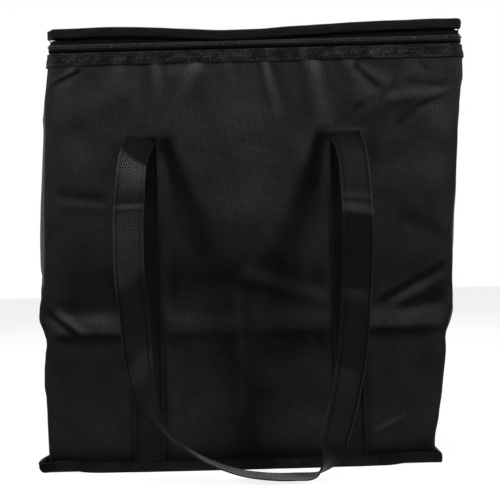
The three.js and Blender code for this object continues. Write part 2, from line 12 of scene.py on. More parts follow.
import bmesh
import bpy
from mathutils import Matrix, Vector, noise
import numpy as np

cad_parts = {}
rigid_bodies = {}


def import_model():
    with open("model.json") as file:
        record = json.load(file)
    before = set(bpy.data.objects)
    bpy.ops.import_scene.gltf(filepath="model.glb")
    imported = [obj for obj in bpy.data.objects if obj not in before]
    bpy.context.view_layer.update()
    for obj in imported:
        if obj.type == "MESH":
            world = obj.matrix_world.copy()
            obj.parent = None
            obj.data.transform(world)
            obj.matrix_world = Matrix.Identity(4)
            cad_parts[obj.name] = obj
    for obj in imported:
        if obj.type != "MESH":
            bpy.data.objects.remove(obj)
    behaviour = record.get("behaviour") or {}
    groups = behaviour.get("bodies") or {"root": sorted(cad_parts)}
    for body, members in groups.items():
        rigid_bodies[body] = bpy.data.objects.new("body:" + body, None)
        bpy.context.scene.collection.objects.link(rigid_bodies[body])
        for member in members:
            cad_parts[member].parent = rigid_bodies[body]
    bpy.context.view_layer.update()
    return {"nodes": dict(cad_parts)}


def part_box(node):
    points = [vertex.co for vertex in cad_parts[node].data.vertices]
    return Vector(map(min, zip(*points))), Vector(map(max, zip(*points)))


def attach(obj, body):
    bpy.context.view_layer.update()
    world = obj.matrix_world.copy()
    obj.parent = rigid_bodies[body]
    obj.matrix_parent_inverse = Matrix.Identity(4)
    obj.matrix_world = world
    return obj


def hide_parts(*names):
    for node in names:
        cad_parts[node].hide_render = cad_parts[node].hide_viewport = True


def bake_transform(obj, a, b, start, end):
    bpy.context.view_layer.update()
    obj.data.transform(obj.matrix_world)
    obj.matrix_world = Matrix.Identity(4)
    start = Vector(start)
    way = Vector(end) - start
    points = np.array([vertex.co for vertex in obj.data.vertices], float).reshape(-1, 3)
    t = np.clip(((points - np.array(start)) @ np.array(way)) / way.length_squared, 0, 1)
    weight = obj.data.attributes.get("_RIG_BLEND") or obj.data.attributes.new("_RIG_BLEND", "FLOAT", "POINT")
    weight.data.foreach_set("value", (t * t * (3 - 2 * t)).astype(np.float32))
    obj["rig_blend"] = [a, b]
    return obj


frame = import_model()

MM = 0.001

# %% [markdown]
# ## Camera, light and floor
# The photograph looks straight at the front wall from about a metre, level with the middle of
# the bag, and is rolled by a degree and a half. A long lens gives the same small perspective.
# Black cloth shows its folds only under light that grazes it, so the two main lamps are soft
# boxes far out to the left and the right, about 60 degrees off the camera's view. A weaker one
# above the camera lights the folds that face upwards, and a fourth stands behind the bag. The
# floor and the world are white to the camera, but they send little light to the cloth, because
# light from all sides would flatten the folds.


# %% Object helpers
def add_object(name, data):
    """A new object at the origin of the scene."""
    made = bpy.data.objects.new(name, data)
    bpy.context.collection.objects.link(made)
    return made


def mesh_of(name, bm):
    """Turns a bmesh into a mesh, and frees it."""
    mesh = bpy.data.meshes.new(name)
    bm.to_mesh(mesh)
    bm.free()
    return mesh


# %% Camera
CAMERA_PLACE = Vector((0.0127, -1.107, 0.204))
CAMERA_ROLL = math.radians(-1.5)
FRAME_WIDTH_AT_ONE_METRE = 0.470
SENSOR_WIDTH = 36

camera_data = bpy.data.cameras.new("camera")
camera_data.sensor_width = SENSOR_WIDTH
camera_data.lens = SENSOR_WIDTH / FRAME_WIDTH_AT_ONE_METRE
camera = add_object("camera", camera_data)
camera.matrix_world = (
    Matrix.Translation(CAMERA_PLACE)
    @ Matrix.Rotation(math.pi / 2, 4, "X")
    @ Matrix.Rotation(CAMERA_ROLL, 4, "Z")
)
bpy.context.scene.camera = camera
bpy.context.scene.view_settings.view_transform = "Standard"

# %% Lamps
BAG_MIDDLE = (0.01, 0, 0.22)
# Each soft box: its place, the point it looks at, its width and height, and its power.
SOFT_BOXES = {
    "left": ((-1.35, -0.78, 0.86), BAG_MIDDLE, 0.4, 0.45, 40),
    "right": ((1.35, -0.78, 0.86), BAG_MIDDLE, 0.4, 0.45, 40),
    "top": ((0, -0.8, 1.35), (0, -0.1, 0.3), 0.6, 0.35, 8),
    "back": ((0, 1.5, 1.3), BAG_MIDDLE, 0.9, 0.6, 18),
}
for name, (place, aim, width, height, watts) in SOFT_BOXES.items():
    light = bpy.data.lights.new(f"{name}_soft_box", "AREA")
    light.shape = "RECTANGLE"
    light.size = width
    light.size_y = height
    light.energy = watts
    turn = (Vector(aim) - Vector(place)).to_track_quat("-Z", "Y").to_matrix().to_4x4()
    add_object(light.name, light).matrix_world = Matrix.Translation(place) @ turn


# %% Node helpers
def fill(node, *given, **named):
    """Fills a node's sockets, by place or by name, with values or with other nodes' outputs."""
    for key, value in [*enumerate(given), *named.items()]:
        socket = node.inputs[key if isinstance(key, int) else key.replace("_", " ")]
        if isinstance(value, bpy.types.NodeSocket):
            node.id_data.links.new(value, socket)
        else:
            socket.default_value = value
    return node


def add_node(tree, kind, *given, **named):
    """A new shader node. Names in small letters are its settings, the others its sockets."""
    node = tree.nodes.new("ShaderNode" + kind)
    for setting in [name for name in named if name.islower()]:
        setattr(node, setting, named.pop(setting))
    return fill(node, *given, **named)


def compute(tree, operation, first, second=0):
    """A Math node; each input is a socket or a number."""
    return add_node(tree, "Math", first, second, operation=operation).outputs[0]


def ramp(tree, value, low, high, start, end):
    """Maps a value between two limits to two others, clamped, with eased ends."""
    return add_node(
        tree, "MapRange", interpolation_type="SMOOTHSTEP",
        Value=value, From_Min=low, From_Max=high, To_Min=start, To_Max=end,
    ).outputs["Result"]


def mix_colours(tree, share, first, second):
    """A colour between two others."""
    mix = add_node(tree, "Mix", data_type="RGBA", Factor=share, A=first, B=second)
    return mix.outputs["Result"]


def texture_noise(tree, place, scale, detail):
    """Smooth noise at a place."""
    return add_node(tree, "TexNoise", Vector=place, Scale=scale, Detail=detail).outputs[0]


def emptied_tree(owner):
    """The node tree of a world or a material, without the nodes that it starts with."""
    owner.use_nodes = True
    owner.node_tree.nodes.clear()
    return owner.node_tree


# %% White surroundings
WHITE = (1, 1, 1, 1)
ROOM_LIGHT = 0.05
GLOW_SHARE = 0.86


def white_to_camera(tree, plain, shown):
    """Mixes two shaders: the plain one lights the bag, the shown one is seen."""
    ray = add_node(tree, "LightPath").outputs
    seen = compute(tree, "MAXIMUM", ray["Is Camera Ray"], ray["Is Glossy Ray"])
    seen = compute(tree, "MAXIMUM", seen, ray["Is Transmission Ray"])
    return add_node(tree, "MixShader", seen, plain.outputs[0], shown.outputs[0]).outputs[0]


world = bpy.data.worlds.new("white_room")
bpy.context.scene.world = world
tree = emptied_tree(world)
room = add_node(tree, "Background", Color=WHITE, Strength=ROOM_LIGHT)
backdrop = add_node(tree, "Background", Color=WHITE, Strength=1)
add_node(tree, "OutputWorld", Surface=white_to_camera(tree, room, backdrop))

floor_bm = bmesh.new()
bmesh.ops.create_grid(floor_bm, x_segments=1, y_segments=1, size=4)
floor = add_object("floor", mesh_of("floor", floor_bm))

floor_material = bpy.data.materials.new("white_floor")
floor.data.materials.append(floor_material)
tree = emptied_tree(floor_material)
paper = add_node(tree, "BsdfDiffuse", Color=(0.9, 0.9, 0.9, 1))
dull_paper = add_node(tree, "BsdfDiffuse", Color=(0.25, 0.25, 0.25, 1))
glow = add_node(tree, "Emission", Strength=1)
kept_shadow = add_node(tree, "MixShader", GLOW_SHARE, paper.outputs[0], glow.outputs[0])
add_node(tree, "OutputMaterial", Surface=white_to_camera(tree, dull_paper, kept_shadow))

# %% [markdown]
# ## Finishes
# Spunbond fabric is a felt of fine plastic fibres, welded together by a roller that prints a lattice of
# small dots. The dots are flat and catch the light, and that light is painted into their colour as a painted
# highlight; the felt between them is nearly black. One node group makes that lattice, and every fabric piece
# uses it with its own colours. It follows each piece's UV map, which is laid out in metres along the cloth,
# so the dots keep their size round corners and along the twisting straps. An attribute set on each corner of
# the mesh paints light and shade into the colour, with some wear: the cloth is lighter on the crests, where
# hands rub it and where painted light falls, and darker in the valleys, as painted shade. Specular
# reflection is kept very low, because this cloth has no shine of its own.


# %% The welded dots
def new_group(name, inputs, outputs):
    """An empty node group with its sockets, given as names and kinds."""
    group = bpy.data.node_groups.new(name, "ShaderNodeTree")
    for way, sockets in (("INPUT", inputs), ("OUTPUT", outputs)):
        for socket, kind in sockets.items():
            group.interface.new_socket(name=socket, in_out=way, socket_type="NodeSocket" + kind)
    given = group.nodes.new("NodeGroupInput").outputs
    return group, given, group.nodes.new("NodeGroupOutput").inputs


def build_welded_dots():
    """Colour, dot mask and height of spunbond cloth, from coordinates in metres."""
    tree, given, result = new_group(
        "welded dots",
        {"Coordinates": "Vector", "Pitch": "Float", "Felt": "Color", "Dots": "Color"},
        {"Colour": "Color", "Dot mask": "Float", "Height": "Float"},
    )
    place = given["Coordinates"]
    turned = add_node(tree, "Mapping", Vector=place, Rotation=(0, 0, math.pi / 4))
    split = add_node(tree, "SeparateXYZ", turned.outputs[0]).outputs
    waves = []
    for axis in "XY":
        turns = compute(tree, "DIVIDE", split[axis], given["Pitch"])
        waves.append(compute(tree, "COSINE", compute(tree, "MULTIPLY", turns, 2 * math.pi)))
    dots = ramp(tree, compute(tree, "ADD", *waves), 0.3, 1.7, 0, 1)
    fibres = texture_noise(tree, place, scale=640, detail=4)
    patches = texture_noise(tree, place, scale=38, detail=3)
    shade = ramp(tree, patches, 0.3, 0.7, 0.8, 1.2)
    fleck = ramp(tree, fibres, 0.32, 0.72, 0.72, 1.35)
    # The attribute read here carries painted light and shade, with some wear, and scales the colour by it.
    wear_and_shading = add_node(tree, "Attribute", attribute_name="rub").outputs["Fac"]
    wear_and_shading_factor = compute(tree, "MAXIMUM", compute(tree, "ADD", wear_and_shading, 1), 0.12)
    level = compute(tree, "MULTIPLY", compute(tree, "MULTIPLY", shade, fleck), wear_and_shading_factor)
    colour = mix_colours(tree, dots, given["Felt"], given["Dots"])
    tint = add_node(tree, "VectorMath", colour, operation="SCALE", Scale=level)
    height = compute(tree, "ADD", dots, compute(tree, "MULTIPLY", fibres, 0.35))
    for name, value in (("Colour", tint.outputs[0]), ("Dot mask", dots), ("Height", height)):
        tree.links.new(value, result[name])
    return tree


# %% Materials of cloth
WELDED_DOTS = build_welded_dots()
DOT_PITCH = 0.00148
COARSE_DOT_PITCH = 0.00185
DOT_DEPTH = 0.0002
BLACK_FELT = (0.0006, 0.0006, 0.0006, 1)
GREY_FELT = (0.0010, 0.0010, 0.0010, 1)


def new_material(name, specular):
    """A material with its node tree and its Principled shader."""
    material = bpy.data.materials.new(name)
    material.use_nodes = True
    shader = material.node_tree.nodes["Principled BSDF"]
    return material, material.node_tree, fill(shader, Specular_IOR_Level=specular)


def along_cloth(tree):
    """The place along and across the cloth, in metres."""
    return add_node(tree, "UVMap", uv_map="run").outputs[0]


def add_bump(tree, height, strength, depth):
    """Lets a height tilt the surface's normals."""
    bump = add_node(tree, "Bump", Height=height, Strength=strength, Distance=depth)
    fill(tree.nodes["Principled BSDF"], Normal=bump.outputs[0])


def cloth_material(name, felt, dots, roughness, specular, fuzz, pitch=DOT_PITCH):
    """Spunbond fabric. Roughness is a pair: that of the felt and that of the dots."""
    material, tree, shader = new_material(name, specular)
    lattice = add_node(
        tree, "Group", node_tree=WELDED_DOTS, Coordinates=along_cloth(tree), Pitch=pitch,
        Felt=felt, Dots=(*dots, 1),
    ).outputs
    gloss = ramp(tree, lattice["Dot mask"], 0, 1, *roughness)
    fill(shader, Base_Color=lattice["Colour"], Roughness=gloss)
    fill(shader, Sheen_Weight=fuzz, Sheen_Roughness=0.4)
    add_bump(tree, lattice["Height"], strength=0.8, depth=DOT_DEPTH)
    return material


# The dots' colours are far lighter than the felt: a painted highlight for the light that the flat dots
# catch.
shell_cloth = cloth_material(
    "black_spunbond", BLACK_FELT, dots=(0.0330, 0.0322, 0.0330), roughness=(0.5, 0.3),
    specular=0.022, fuzz=0.002,
)
strap_cloth = cloth_material(
    "strap_spunbond", BLACK_FELT, dots=(0.0235, 0.0230, 0.0236), roughness=(0.45, 0.28),
    specular=0.022, fuzz=0.012, pitch=COARSE_DOT_PITCH,
)
binding_cloth = cloth_material(
    "binding_spunbond", GREY_FELT, dots=(0.0235, 0.0226, 0.0220), roughness=(0.5, 0.35),
    specular=0.02, fuzz=0.004, pitch=COARSE_DOT_PITCH,
)


# %% Plain materials
def plain_material(name, colour, roughness, metallic=0, specular=0.5):
    """A Principled material whose colour and roughness vary a little over the surface."""
    material, tree, shader = new_material(name, specular)
    place = add_node(tree, "TexCoord").outputs["Object"]
    patches = texture_noise(tree, place, scale=180, detail=4)
    dark, light = ((*(share * c for c in colour), 1) for share in (0.8, 1.2))
    gloss = ramp(tree, patches, 0.3, 0.7, roughness * 0.85, roughness * 1.15)
    fill(shader, Base_Color=mix_colours(tree, patches, dark, light), Roughness=gloss)
    fill(shader, Metallic=metallic)
    return material


# The nylon's grey is a painted highlight for the glints along the coils.
zip_nylon = plain_material("zip_nylon", (0.078, 0.078, 0.086), 0.4, specular=0.03)
thread = plain_material("black_thread", (0.0045, 0.0045, 0.0048), 0.45, specular=0.03)
# The hem's thread is lighter than the other thread: a painted highlight for the glints on its stitches.
hem_thread = plain_material("worn_hem_thread", (0.0120, 0.0120, 0.0125), 0.45, specular=0.05)
foam = plain_material("white_foam", (0.78, 0.79, 0.77), 0.85, specular=0.2)

# %% Woven tape, foil and enamel
WEAVE_PITCH = 0.0008

# Tape woven in fine ribs that run across it.
zip_tape = plain_material("woven_zip_tape", (0.0015, 0.0015, 0.0019), 0.6, specular=0.02)
tree = zip_tape.node_tree
split = add_node(tree, "SeparateXYZ", along_cloth(tree)).outputs
ribs = []
for axis, pitch in (("X", WEAVE_PITCH), ("Y", 2 * WEAVE_PITCH)):
    turns = compute(tree, "MULTIPLY", split[axis], 2 * math.pi / pitch)
    ribs.append(compute(tree, "MULTIPLY", compute(tree, "SINE", turns), 0.5))
add_bump(tree, compute(tree, "ADD", *ribs), strength=0.7, depth=0.0001)

# Metallised film, creased into small flat facets.
foil = plain_material("crinkled_foil", (0.66, 0.67, 0.69), 0.24, metallic=0.9)
tree = foil.node_tree
place = add_node(tree, "TexCoord").outputs["Object"]
facets = add_node(tree, "TexVoronoi", feature="DISTANCE_TO_EDGE", Vector=place, Scale=55)
creases = ramp(tree, facets.outputs[0], 0, 0.18, 0, 0.35)
crumple = texture_noise(tree, place, scale=42, detail=5)
add_bump(tree, compute(tree, "ADD", creases, crumple), strength=0.9, depth=0.0012)

# Black enamel, worn to bright metal where an edge is rubbed.
enamel = plain_material("black_enamel", (0.012, 0.012, 0.013), 0.3)
tree = enamel.node_tree
edges = add_node(tree, "NewGeometry").outputs["Pointiness"]
fill(tree.nodes["Principled BSDF"], Metallic=ramp(tree, edges, 0.53, 0.6, 0, 0.6))

# %% [markdown]
# ## The standing body
# The real walls are soft: the base is narrower than the top, the whole body leans a little to
# the right, and an old storage fold runs round it about 146 mm up. One function gives a point
# on the wall for any side, height and depth in the layers, so the shell, foam, lining, hem,
# tapes and bindings all nest. All lengths from here on are in millimetres, except those that
# the frame and Blender are given, which are in metres.


# %% Sizes of the body, from the working model
def node_corners(name):
    """Lowest and highest corner of a node of the working model."""
    low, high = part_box(name)
    return low / MM, high / MM


base_low, base_high = node_corners("bottom_outer_panel")
hem_low, hem_high = node_corners("front_top_hem")
BASE_WIDTH = base_high.x - base_low.x
DEPTH = base_high.y - base_low.y
BODY_HEIGHT = hem_high.z
HEM_LOW = hem_low.z
LEAN = 21.6
FOLD_HEIGHT = 146
TOP_WIDTH = 388
WIDTHS = ((0, BASE_WIDTH), (118, 376), (FOLD_HEIGHT, 389), (303, 392), (393, TOP_WIDTH))
FRONT_SWELL, LEFT_SWELL, RIGHT_SWELL = 9, 13, 10
SWELL_LOW, SWELL_HIGH = 15, HEM_LOW - 1
print("body:", BASE_WIDTH, "x", DEPTH, "x", BODY_HEIGHT, "mm")


# %% Small curves
def bounded(value, low, high):
    """The value, kept between two limits."""
    return min(max(value, low), high)


def eased(value, start, end):
    """0 at the start, 1 at the end, with eased ends."""
    t = bounded((value - start) / (end - start), 0, 1)
    return t * t * (3 - 2 * t)


def bell(distance, half_width):
    """1 at no distance, falling smoothly to nothing on both sides."""
    return math.exp(-((distance / half_width) ** 2))


def read_off(table, z):
    """A value from a table of heights, with eased steps between its rows."""
    for (low, before), (high, after) in zip(table, table[1:]):
        if z <= high:
            break
    return before + (after - before) * eased(z, low, high)


# %% The walls' plan at a height
# How far the front corners stand in from the plain form, as pairs of height and distance.
LEFT_INSETS = (
    (0, 0), (26, 0.8), (54, 0.1), (68, -0.5), (82, -2.2), (96, -2), (110, -0.9), (124, 1.2),
    (130, 1), (143, -1.1), (153, -0.9), (167, 0.8), (181, 2.8), (209, 2.7), (256, 1.4),
    (303, 1.2), (350, -1), (378, -1), (393, 0),
)
RIGHT_INSETS = (
    (0, 0), (25, 2.5), (45, 0.6), (68, -0.8), (103, -1.7), (124, 0.2), (152, 0.4), (180, 2),
    (223, 3.4), (262, 2), (310, 1.6), (336, 0.2), (350, -0.8), (364, -3.1), (380, -3.2),
    (393, -1),
)


def width_at(z):
    """Width of the body at a height."""
    for (low, low_width), (high, high_width) in zip(WIDTHS, WIDTHS[1:]):
        if z <= high:
            break
    t = bounded((z - low) / (high - low), 0, 1)
    return low_width + (high_width - low_width) * t


def side_faces(z):
    """Where the left and the right corner stand at a height."""
    middle = LEAN * min(z, BODY_HEIGHT) / BODY_HEIGHT
    left = middle - width_at(z) / 2 + read_off(LEFT_INSETS, z)
    right = middle + width_at(z) / 2 - read_off(RIGHT_INSETS, z)
    return left, right


def swell_at(z):
    """Share of the full swell at a height: none at the base and at the hem."""
    share = bounded((z - SWELL_LOW) / (SWELL_HIGH - SWELL_LOW), 0, 1)
    return math.sin(math.pi * share) ** 0.75 if 0 < share < 1 else 0


def corner_radius(z):
    """Seams pinch the body's corners. They are rounder at the base and at the zip's turns."""
    return 3 + 5 * eased(z, 352, 384) + 5 * (1 - eased(z, 6, 34))


def base_bow(share):
    """How far the front and the back bow out at the base, at a share of their half width."""
    return 8 * max(1 - abs(share / 0.96) ** 4, 0)


# %% A point on a wall
# Each side: the way along it and the way out of it.
SIDES = {
    "front": (Vector((1, 0, 0)), Vector((0, -1, 0))),
    "right": (Vector((0, 1, 0)), Vector((1, 0, 0))),
    "back": (Vector((-1, 0, 0)), Vector((0, 1, 0))),
    "left": (Vector((0, -1, 0)), Vector((-1, 0, 0))),
}
WIDE_SIDES = ("front", "back")
EIGHTH = math.pi / 4
LEAST_RADIUS = 1.2


def swell_of(side, share, z):
    """How far a wall stands out between its corners."""
    if side == "left":
        above_fold = eased(z, 135, 200) * (1 - eased(z, 355, 381))
        return LEFT_SWELL * (1 - abs(share) ** 3.6) * swell_at(z) ** 0.4 * (0.3 + 0.7 * above_fold)
    if side == "right":
        return RIGHT_SWELL * (1 - abs(share) ** 2.5) * swell_at(z)
    swell = FRONT_SWELL * (1 - share * share) * swell_at(z)
    return swell + base_bow(share) * (1 - eased(z, 4, 70))


def wall_point(side, share, turn, z, out):
    """A point on a layer of the wall. Turn, an angle, goes round the corner at the end."""
    left, right = side_faces(z)
    along, outward = SIDES[side]
    wide = side in WIDE_SIDES
    run = (right - left) / 2 if wide else DEPTH / 2
    face = DEPTH / 2 if wide else (right - left) / 2
    radius = max(corner_radius(z) + out, LEAST_RADIUS)
    a = share * (run + out - radius) + radius * math.sin(turn)
    o = face + out - radius + radius * math.cos(turn) + swell_of(side, share, z)
    return Vector(((left + right) / 2, 0, z)) + along * a + outward * o


def side_places(side, step):
    """Places along one side, from the middle of one corner to the middle of the next."""
    count = round((TOP_WIDTH if side in WIDE_SIDES else DEPTH) / step)
    places = [(side, -1, -EIGHTH), (side, -1, -EIGHTH / 2)]
    places += [(side, 2 * i / count - 1, 0) for i in range(count + 1)]
    return places + [(side, 1, EIGHTH / 2), (side, 1, EIGHTH)]


def ring_places(step):
    """Places once round the bag, the last on the first."""
    places = [place for side in SIDES for place in side_places(side, step)[:-1]]
    return places + places[:1]


def zip_places(step):
    """Places round the left, front and right sides, where the zip runs."""
    sides = ("left", "front", "right")
    return [place for side in sides for place in side_places(side, step)[:-1]][2:-1]


# %% [markdown]
# ## Buckles and creases
# Foam-backed cloth doesn't hang in soft drapes. It buckles in broad shallow waves and keeps
# sharp little creases where it was folded. The waves come from smooth noise, and each fold that
# shows is a ridge or a valley along a line on the wall. They are small: 3 mm at most. The
# photograph shows the front; the other walls have folds of the same kinds in other places. The
# sides also fold inwards when the bag is put away, which leaves a soft line up the middle of
# each and slanting ones that meet it at the storage fold.


# %% Kinds of folds
def beside_line(x, z, x1, z1, x2, z2):
    """How far along a line a place lies, from 0 to 1, and its distance from the line."""
    run = Vector((x2, z2)) - Vector((x1, z1))
    spot = Vector((x, z)) - Vector((x1, z1))
    t = bounded(spot.dot(run) / run.length_squared, 0, 1)
    return t, (spot - run * t).length


def ridge(x, z, *fold):
    """A ridge, or a valley where the height is negative, along a line that fades at its ends."""
    *line, half_width, height = fold
    t, distance = beside_line(x, z, *line)
    fade = 1 - abs(2 * t - 1) ** 6
    return height * fade * bell(distance, half_width)


def gather(x, z, *fold):
    """A fold that hangs from the hem: it grows wider and shallower on its way down."""
    *line, half_width, height = fold
    t, distance = beside_line(x, z, *line)
    return height * (1 - 0.8 * t) * bell(distance, half_width * (0.7 + 0.9 * t))


def swelling(x, z, *fold):
    """A broad soft rise, or a hollow, along a line."""
    *line, half_width, height = fold
    return height * bell(beside_line(x, z, *line)[1], half_width)


# %% Folds of the walls
# Each fold: x and z of its first end and of its second, its half width and its height. On the side walls y
# takes the place of x. The last two gathers of the front and of the back are the hollows beside the sewn
# straps, which hold the wall in. Painted shade darkens them, on top of the straps' real shadows.
SIDE_SWELLINGS = (
    (-50, 300, -54, 215, 26, 1.2), (54, 290, 50, 205, 26, 1.2),
    (-46, 70, -44, 60, 26, 0.8), (48, 76, 46, 60, 26, 0.8),
)
FRONT_FOLDS = {
    ridge: (
        (-178, 361, -142, 377, 2.4, -1.3), (-172, 366, -146, 379, 2.6, 0.8),
        (208, 352, 160, 361, 3, -0.6), (208, 350, 140, 344, 4.5, 1),
        (205, 348, 170, 334, 2.8, -0.5), (172, 334, 150, 316, 5, -0.35),
        (134, 346, 110, 332, 3.5, -0.35), (112, 378, 138, 354, 3.2, -0.55),
        (118, 374, 150, 358, 6, 0.6), (176, 379, 184, 368, 2.5, -0.45),
        (-181, 152, -150, 127, 3, -1.1), (-172, 152, -138, 126, 5, 0.9),
        (130, 152, 202, 190, 3.6, -0.75), (140, 150, 204, 180, 6, 0.8),
        (150, 146, 206, 158, 3.5, -0.5), (120, 31, 155, 46, 2.5, 0.45),
        (-172, 254, -118, 248, 4, 0.6), (-172, 262, -118, 255, 7, -0.5),
        (150, 236, 200, 214, 9, -0.6), (0, 186, 90, 156, 8, 0.8), (-1, 172, 2, 44, 4, 0.3),
    ),
    gather: (
        (-72, 386, -70, 344, 5, 1.5), (-30, 386, -56, 336, 8, 2.2),
        (-4, 386, -2, 356, 5, 0.9), (30, 386, 42, 330, 4, 1.5),
        (74, 386, 90, 304, 9, 2.4), (106, 386, 124, 348, 7, 1.5),
        (-146, 386, -165, 352, 6, 0.7), (-104, 386, -112, 352, 7, 0.6),
        (-66, 302, -12, 170, 15, -2.7), (85, 306, 36, 170, 14, -2.7),
    ),
    swelling: (
        (-150, 172, 180, 174, 20, -1.2), (-155, 342, -100, 354, 22, 1.4),
        (-155, 290, -120, 275, 20, 0.7), (178, 350, 196, 318, 20, 1.4),
        (105, 350, 125, 344, 18, 0.9), (14, 330, 12, 245, 26, 1.2),
        (-45, 112, 75, 112, 20, -0.7), (-50, 48, 80, 48, 34, 0.7),
        (20, 112, 22, 30, 22, 1.2), (150, 266, 190, 270, 20, 0.8),
    ),
}
BACK_FOLDS = {
    ridge: (
        (-30, 318, 58, 342, 7, -0.9), (-168, 262, -118, 226, 6, 0.9),
        (-176, 150, -128, 180, 4, -1.2), (-178, 140, -130, 168, 7, 1),
        (130, 152, 188, 128, 4, -1.3), (134, 156, 190, 136, 6, 0.9),
        (150, 374, 190, 350, 4, -1.1), (-170, 330, -128, 350, 6, 0.8),
        (-20, 84, 44, 66, 5, 0.5),
    ),
    gather: (
        (-150, 386, -158, 346, 6, 1.1), (-112, 386, -100, 338, 8, 1.8),
        (-64, 386, -66, 350, 5, 1.1), (-34, 386, -18, 322, 9, 2),
        (22, 386, 18, 352, 5, 1), (58, 386, 48, 334, 7, 1.9),
        (104, 386, 122, 322, 9, 2.2), (158, 386, 166, 350, 6, 1),
        (82, 302, 28, 172, 15, -2.3), (-66, 304, -18, 176, 14, -2.5),
    ),
    swelling: (
        (-150, 176, 170, 172, 20, -1), (10, 330, 14, 240, 28, 1.2),
        (-150, 300, -125, 270, 22, 0.9), (150, 310, 172, 280, 22, 0.9),
        (-40, 50, 70, 50, 34, 0.7),
    ),
}
RIGHT_FOLDS = {
    ridge: (
        (2, 150, -4, 384, 9, -0.9), (0, 12, 2, 140, 8, -0.4),
        (-98, 60, -6, 148, 7, -0.5), (98, 56, 6, 148, 7.5, -0.45),
        (-96, 232, -4, 154, 8, 0.7), (94, 240, 8, 156, 7, 0.5),
        (-92, 360, -50, 338, 4, -1), (60, 372, 92, 344, 4, 0.9),
    ),
    gather: (
        (-72, 386, -62, 330, 7, 1.5), (-30, 386, -36, 348, 6, 1.2),
        (20, 386, 34, 318, 8, 1.8), (66, 386, 60, 350, 6, 1.2),
    ),
    swelling: SIDE_SWELLINGS,
}
LEFT_FOLDS = {
    ridge: (
        (-3, 150, 5, 384, 9, -0.8), (2, 12, -2, 140, 8, -0.4),
        (-98, 66, -6, 146, 7, -0.4), (98, 50, 8, 146, 7.5, -0.5),
        (-94, 246, -8, 156, 7, 0.5), (96, 226, 6, 154, 8, 0.6),
        (50, 350, 92, 366, 4, -1), (-90, 330, -46, 352, 5, 0.9),
        (-92, 190, -52, 176, 4, -0.8),
    ),
    gather: (
        (-78, 386, -84, 346, 6, 1.2), (-44, 386, -34, 322, 8, 1.9), (4, 386, 2, 352, 6, 1),
        (48, 386, 60, 330, 8, 1.7), (84, 386, 80, 352, 5, 1),
    ),
    swelling: SIDE_SWELLINGS,
}
FOLDS = {"front": FRONT_FOLDS, "back": BACK_FOLDS, "right": RIGHT_FOLDS, "left": LEFT_FOLDS}


def folds_at(side, along, z):
    """Height of all of a wall's folds at a place. The hem above holds them down."""
    height = sum(
        sum(kind(along, z, *fold) for fold in folds) for kind, folds in FOLDS[side].items()
    )
    return height * (1 - 0.6 * eased(z, 376, 384))


def storage_fold(z, strength):
    """The fold round the bag: a ledge that swells out slowly and turns in sharply below."""
    pushed = -0.9 * bell(z - FOLD_HEIGHT - 10, 9)
    ledge = 2.7 * eased(z, FOLD_HEIGHT - 22, FOLD_HEIGHT - 14)
    ledge *= 1 - eased(z, FOLD_HEIGHT - 9, FOLD_HEIGHT + 6)
    return strength * (pushed + ledge)


# %% The cloth's relief
# x of the middle of the front straps' sewn parts, and of the middle between them.
STRAP_PLACES = (-85.1, 102.9)
STRAP_MIDDLE = 8.9
SEWN_STRAP_TOP = 318


def cloth_relief(side, point):
    """How far the cloth stands off its smooth wall at a point."""
    x, y, z = point
    quiet = eased(z, 12, 45) * (1 - eased(z, 372, 384))
    waves = 1.4 * noise.noise((x / 95, y / 95, z / 120 + 3.1))
    waves += 0.4 * noise.noise((x / 38 + 9, y / 38, z / 52))
    waves += 0.12 * noise.noise((x / 13, y / 13 + 5, z / 17))
    if side not in WIDE_SIDES:
        bent = z + 4 * noise.noise((y / 42, x, 1))
        return folds_at(side, y, z) + storage_fold(bent, 0.75) + waves * quiet
    if side == "front":
        strap_x = x
        ledge = storage_fold(z, 0.16 + 0.5 * eased(abs(x - 12), 60, 150))
    else:
        strap_x = 2 * STRAP_MIDDLE - x
        bent = z + 5 * noise.noise((x / 48, 7, 1))
        ledge = storage_fold(bent, 0.14 + 0.6 * eased(abs(x - 2), 50, 160))
    relief = folds_at(side, x, z) + ledge * eased(z, 60, 110) + waves * quiet
    sewn = max(1 - eased(abs(strap_x - middle), 13, 27) for middle in STRAP_PLACES)
    return relief * (1 - 0.6 * sewn * (z < SEWN_STRAP_TOP))


def faded_relief(side, share, point):
    """The relief at a point, faded towards the corners."""
    return cloth_relief(side, point) * (1 - abs(share) ** 14)


def soft_wall_point(side, share, turn, z, out):
    """A point on a layer of the wall with the cloth's relief."""
    point = wall_point(side, share, turn, z, out)
    return point + SIDES[side][1] * faded_relief(side, share, point)


# %% [markdown]
# ## From a flat grid to a piece
# Most of the bag is cloth that starts flat, so most pieces start as a flat grid. Each corner
# of the grid is then moved to its place on the bag, as a tailor would lay cloth on a form, and
# the edges that meet are merged. The UV map keeps the lengths along and up the cloth.


# %% Grid helpers
def levels(low, high, step):
    """Values about a step apart, both ends among them."""
    count = max(round((high - low) / step), 1)
    return [low + (high - low) * i / count for i in range(count + 1)]


def lengths_along(points):
    """Running length at each point of a line."""
    total, result = 0, [0]
    for before, after in zip(points, points[1:]):
        total += (after - before).length
        result.append(total)
    return result


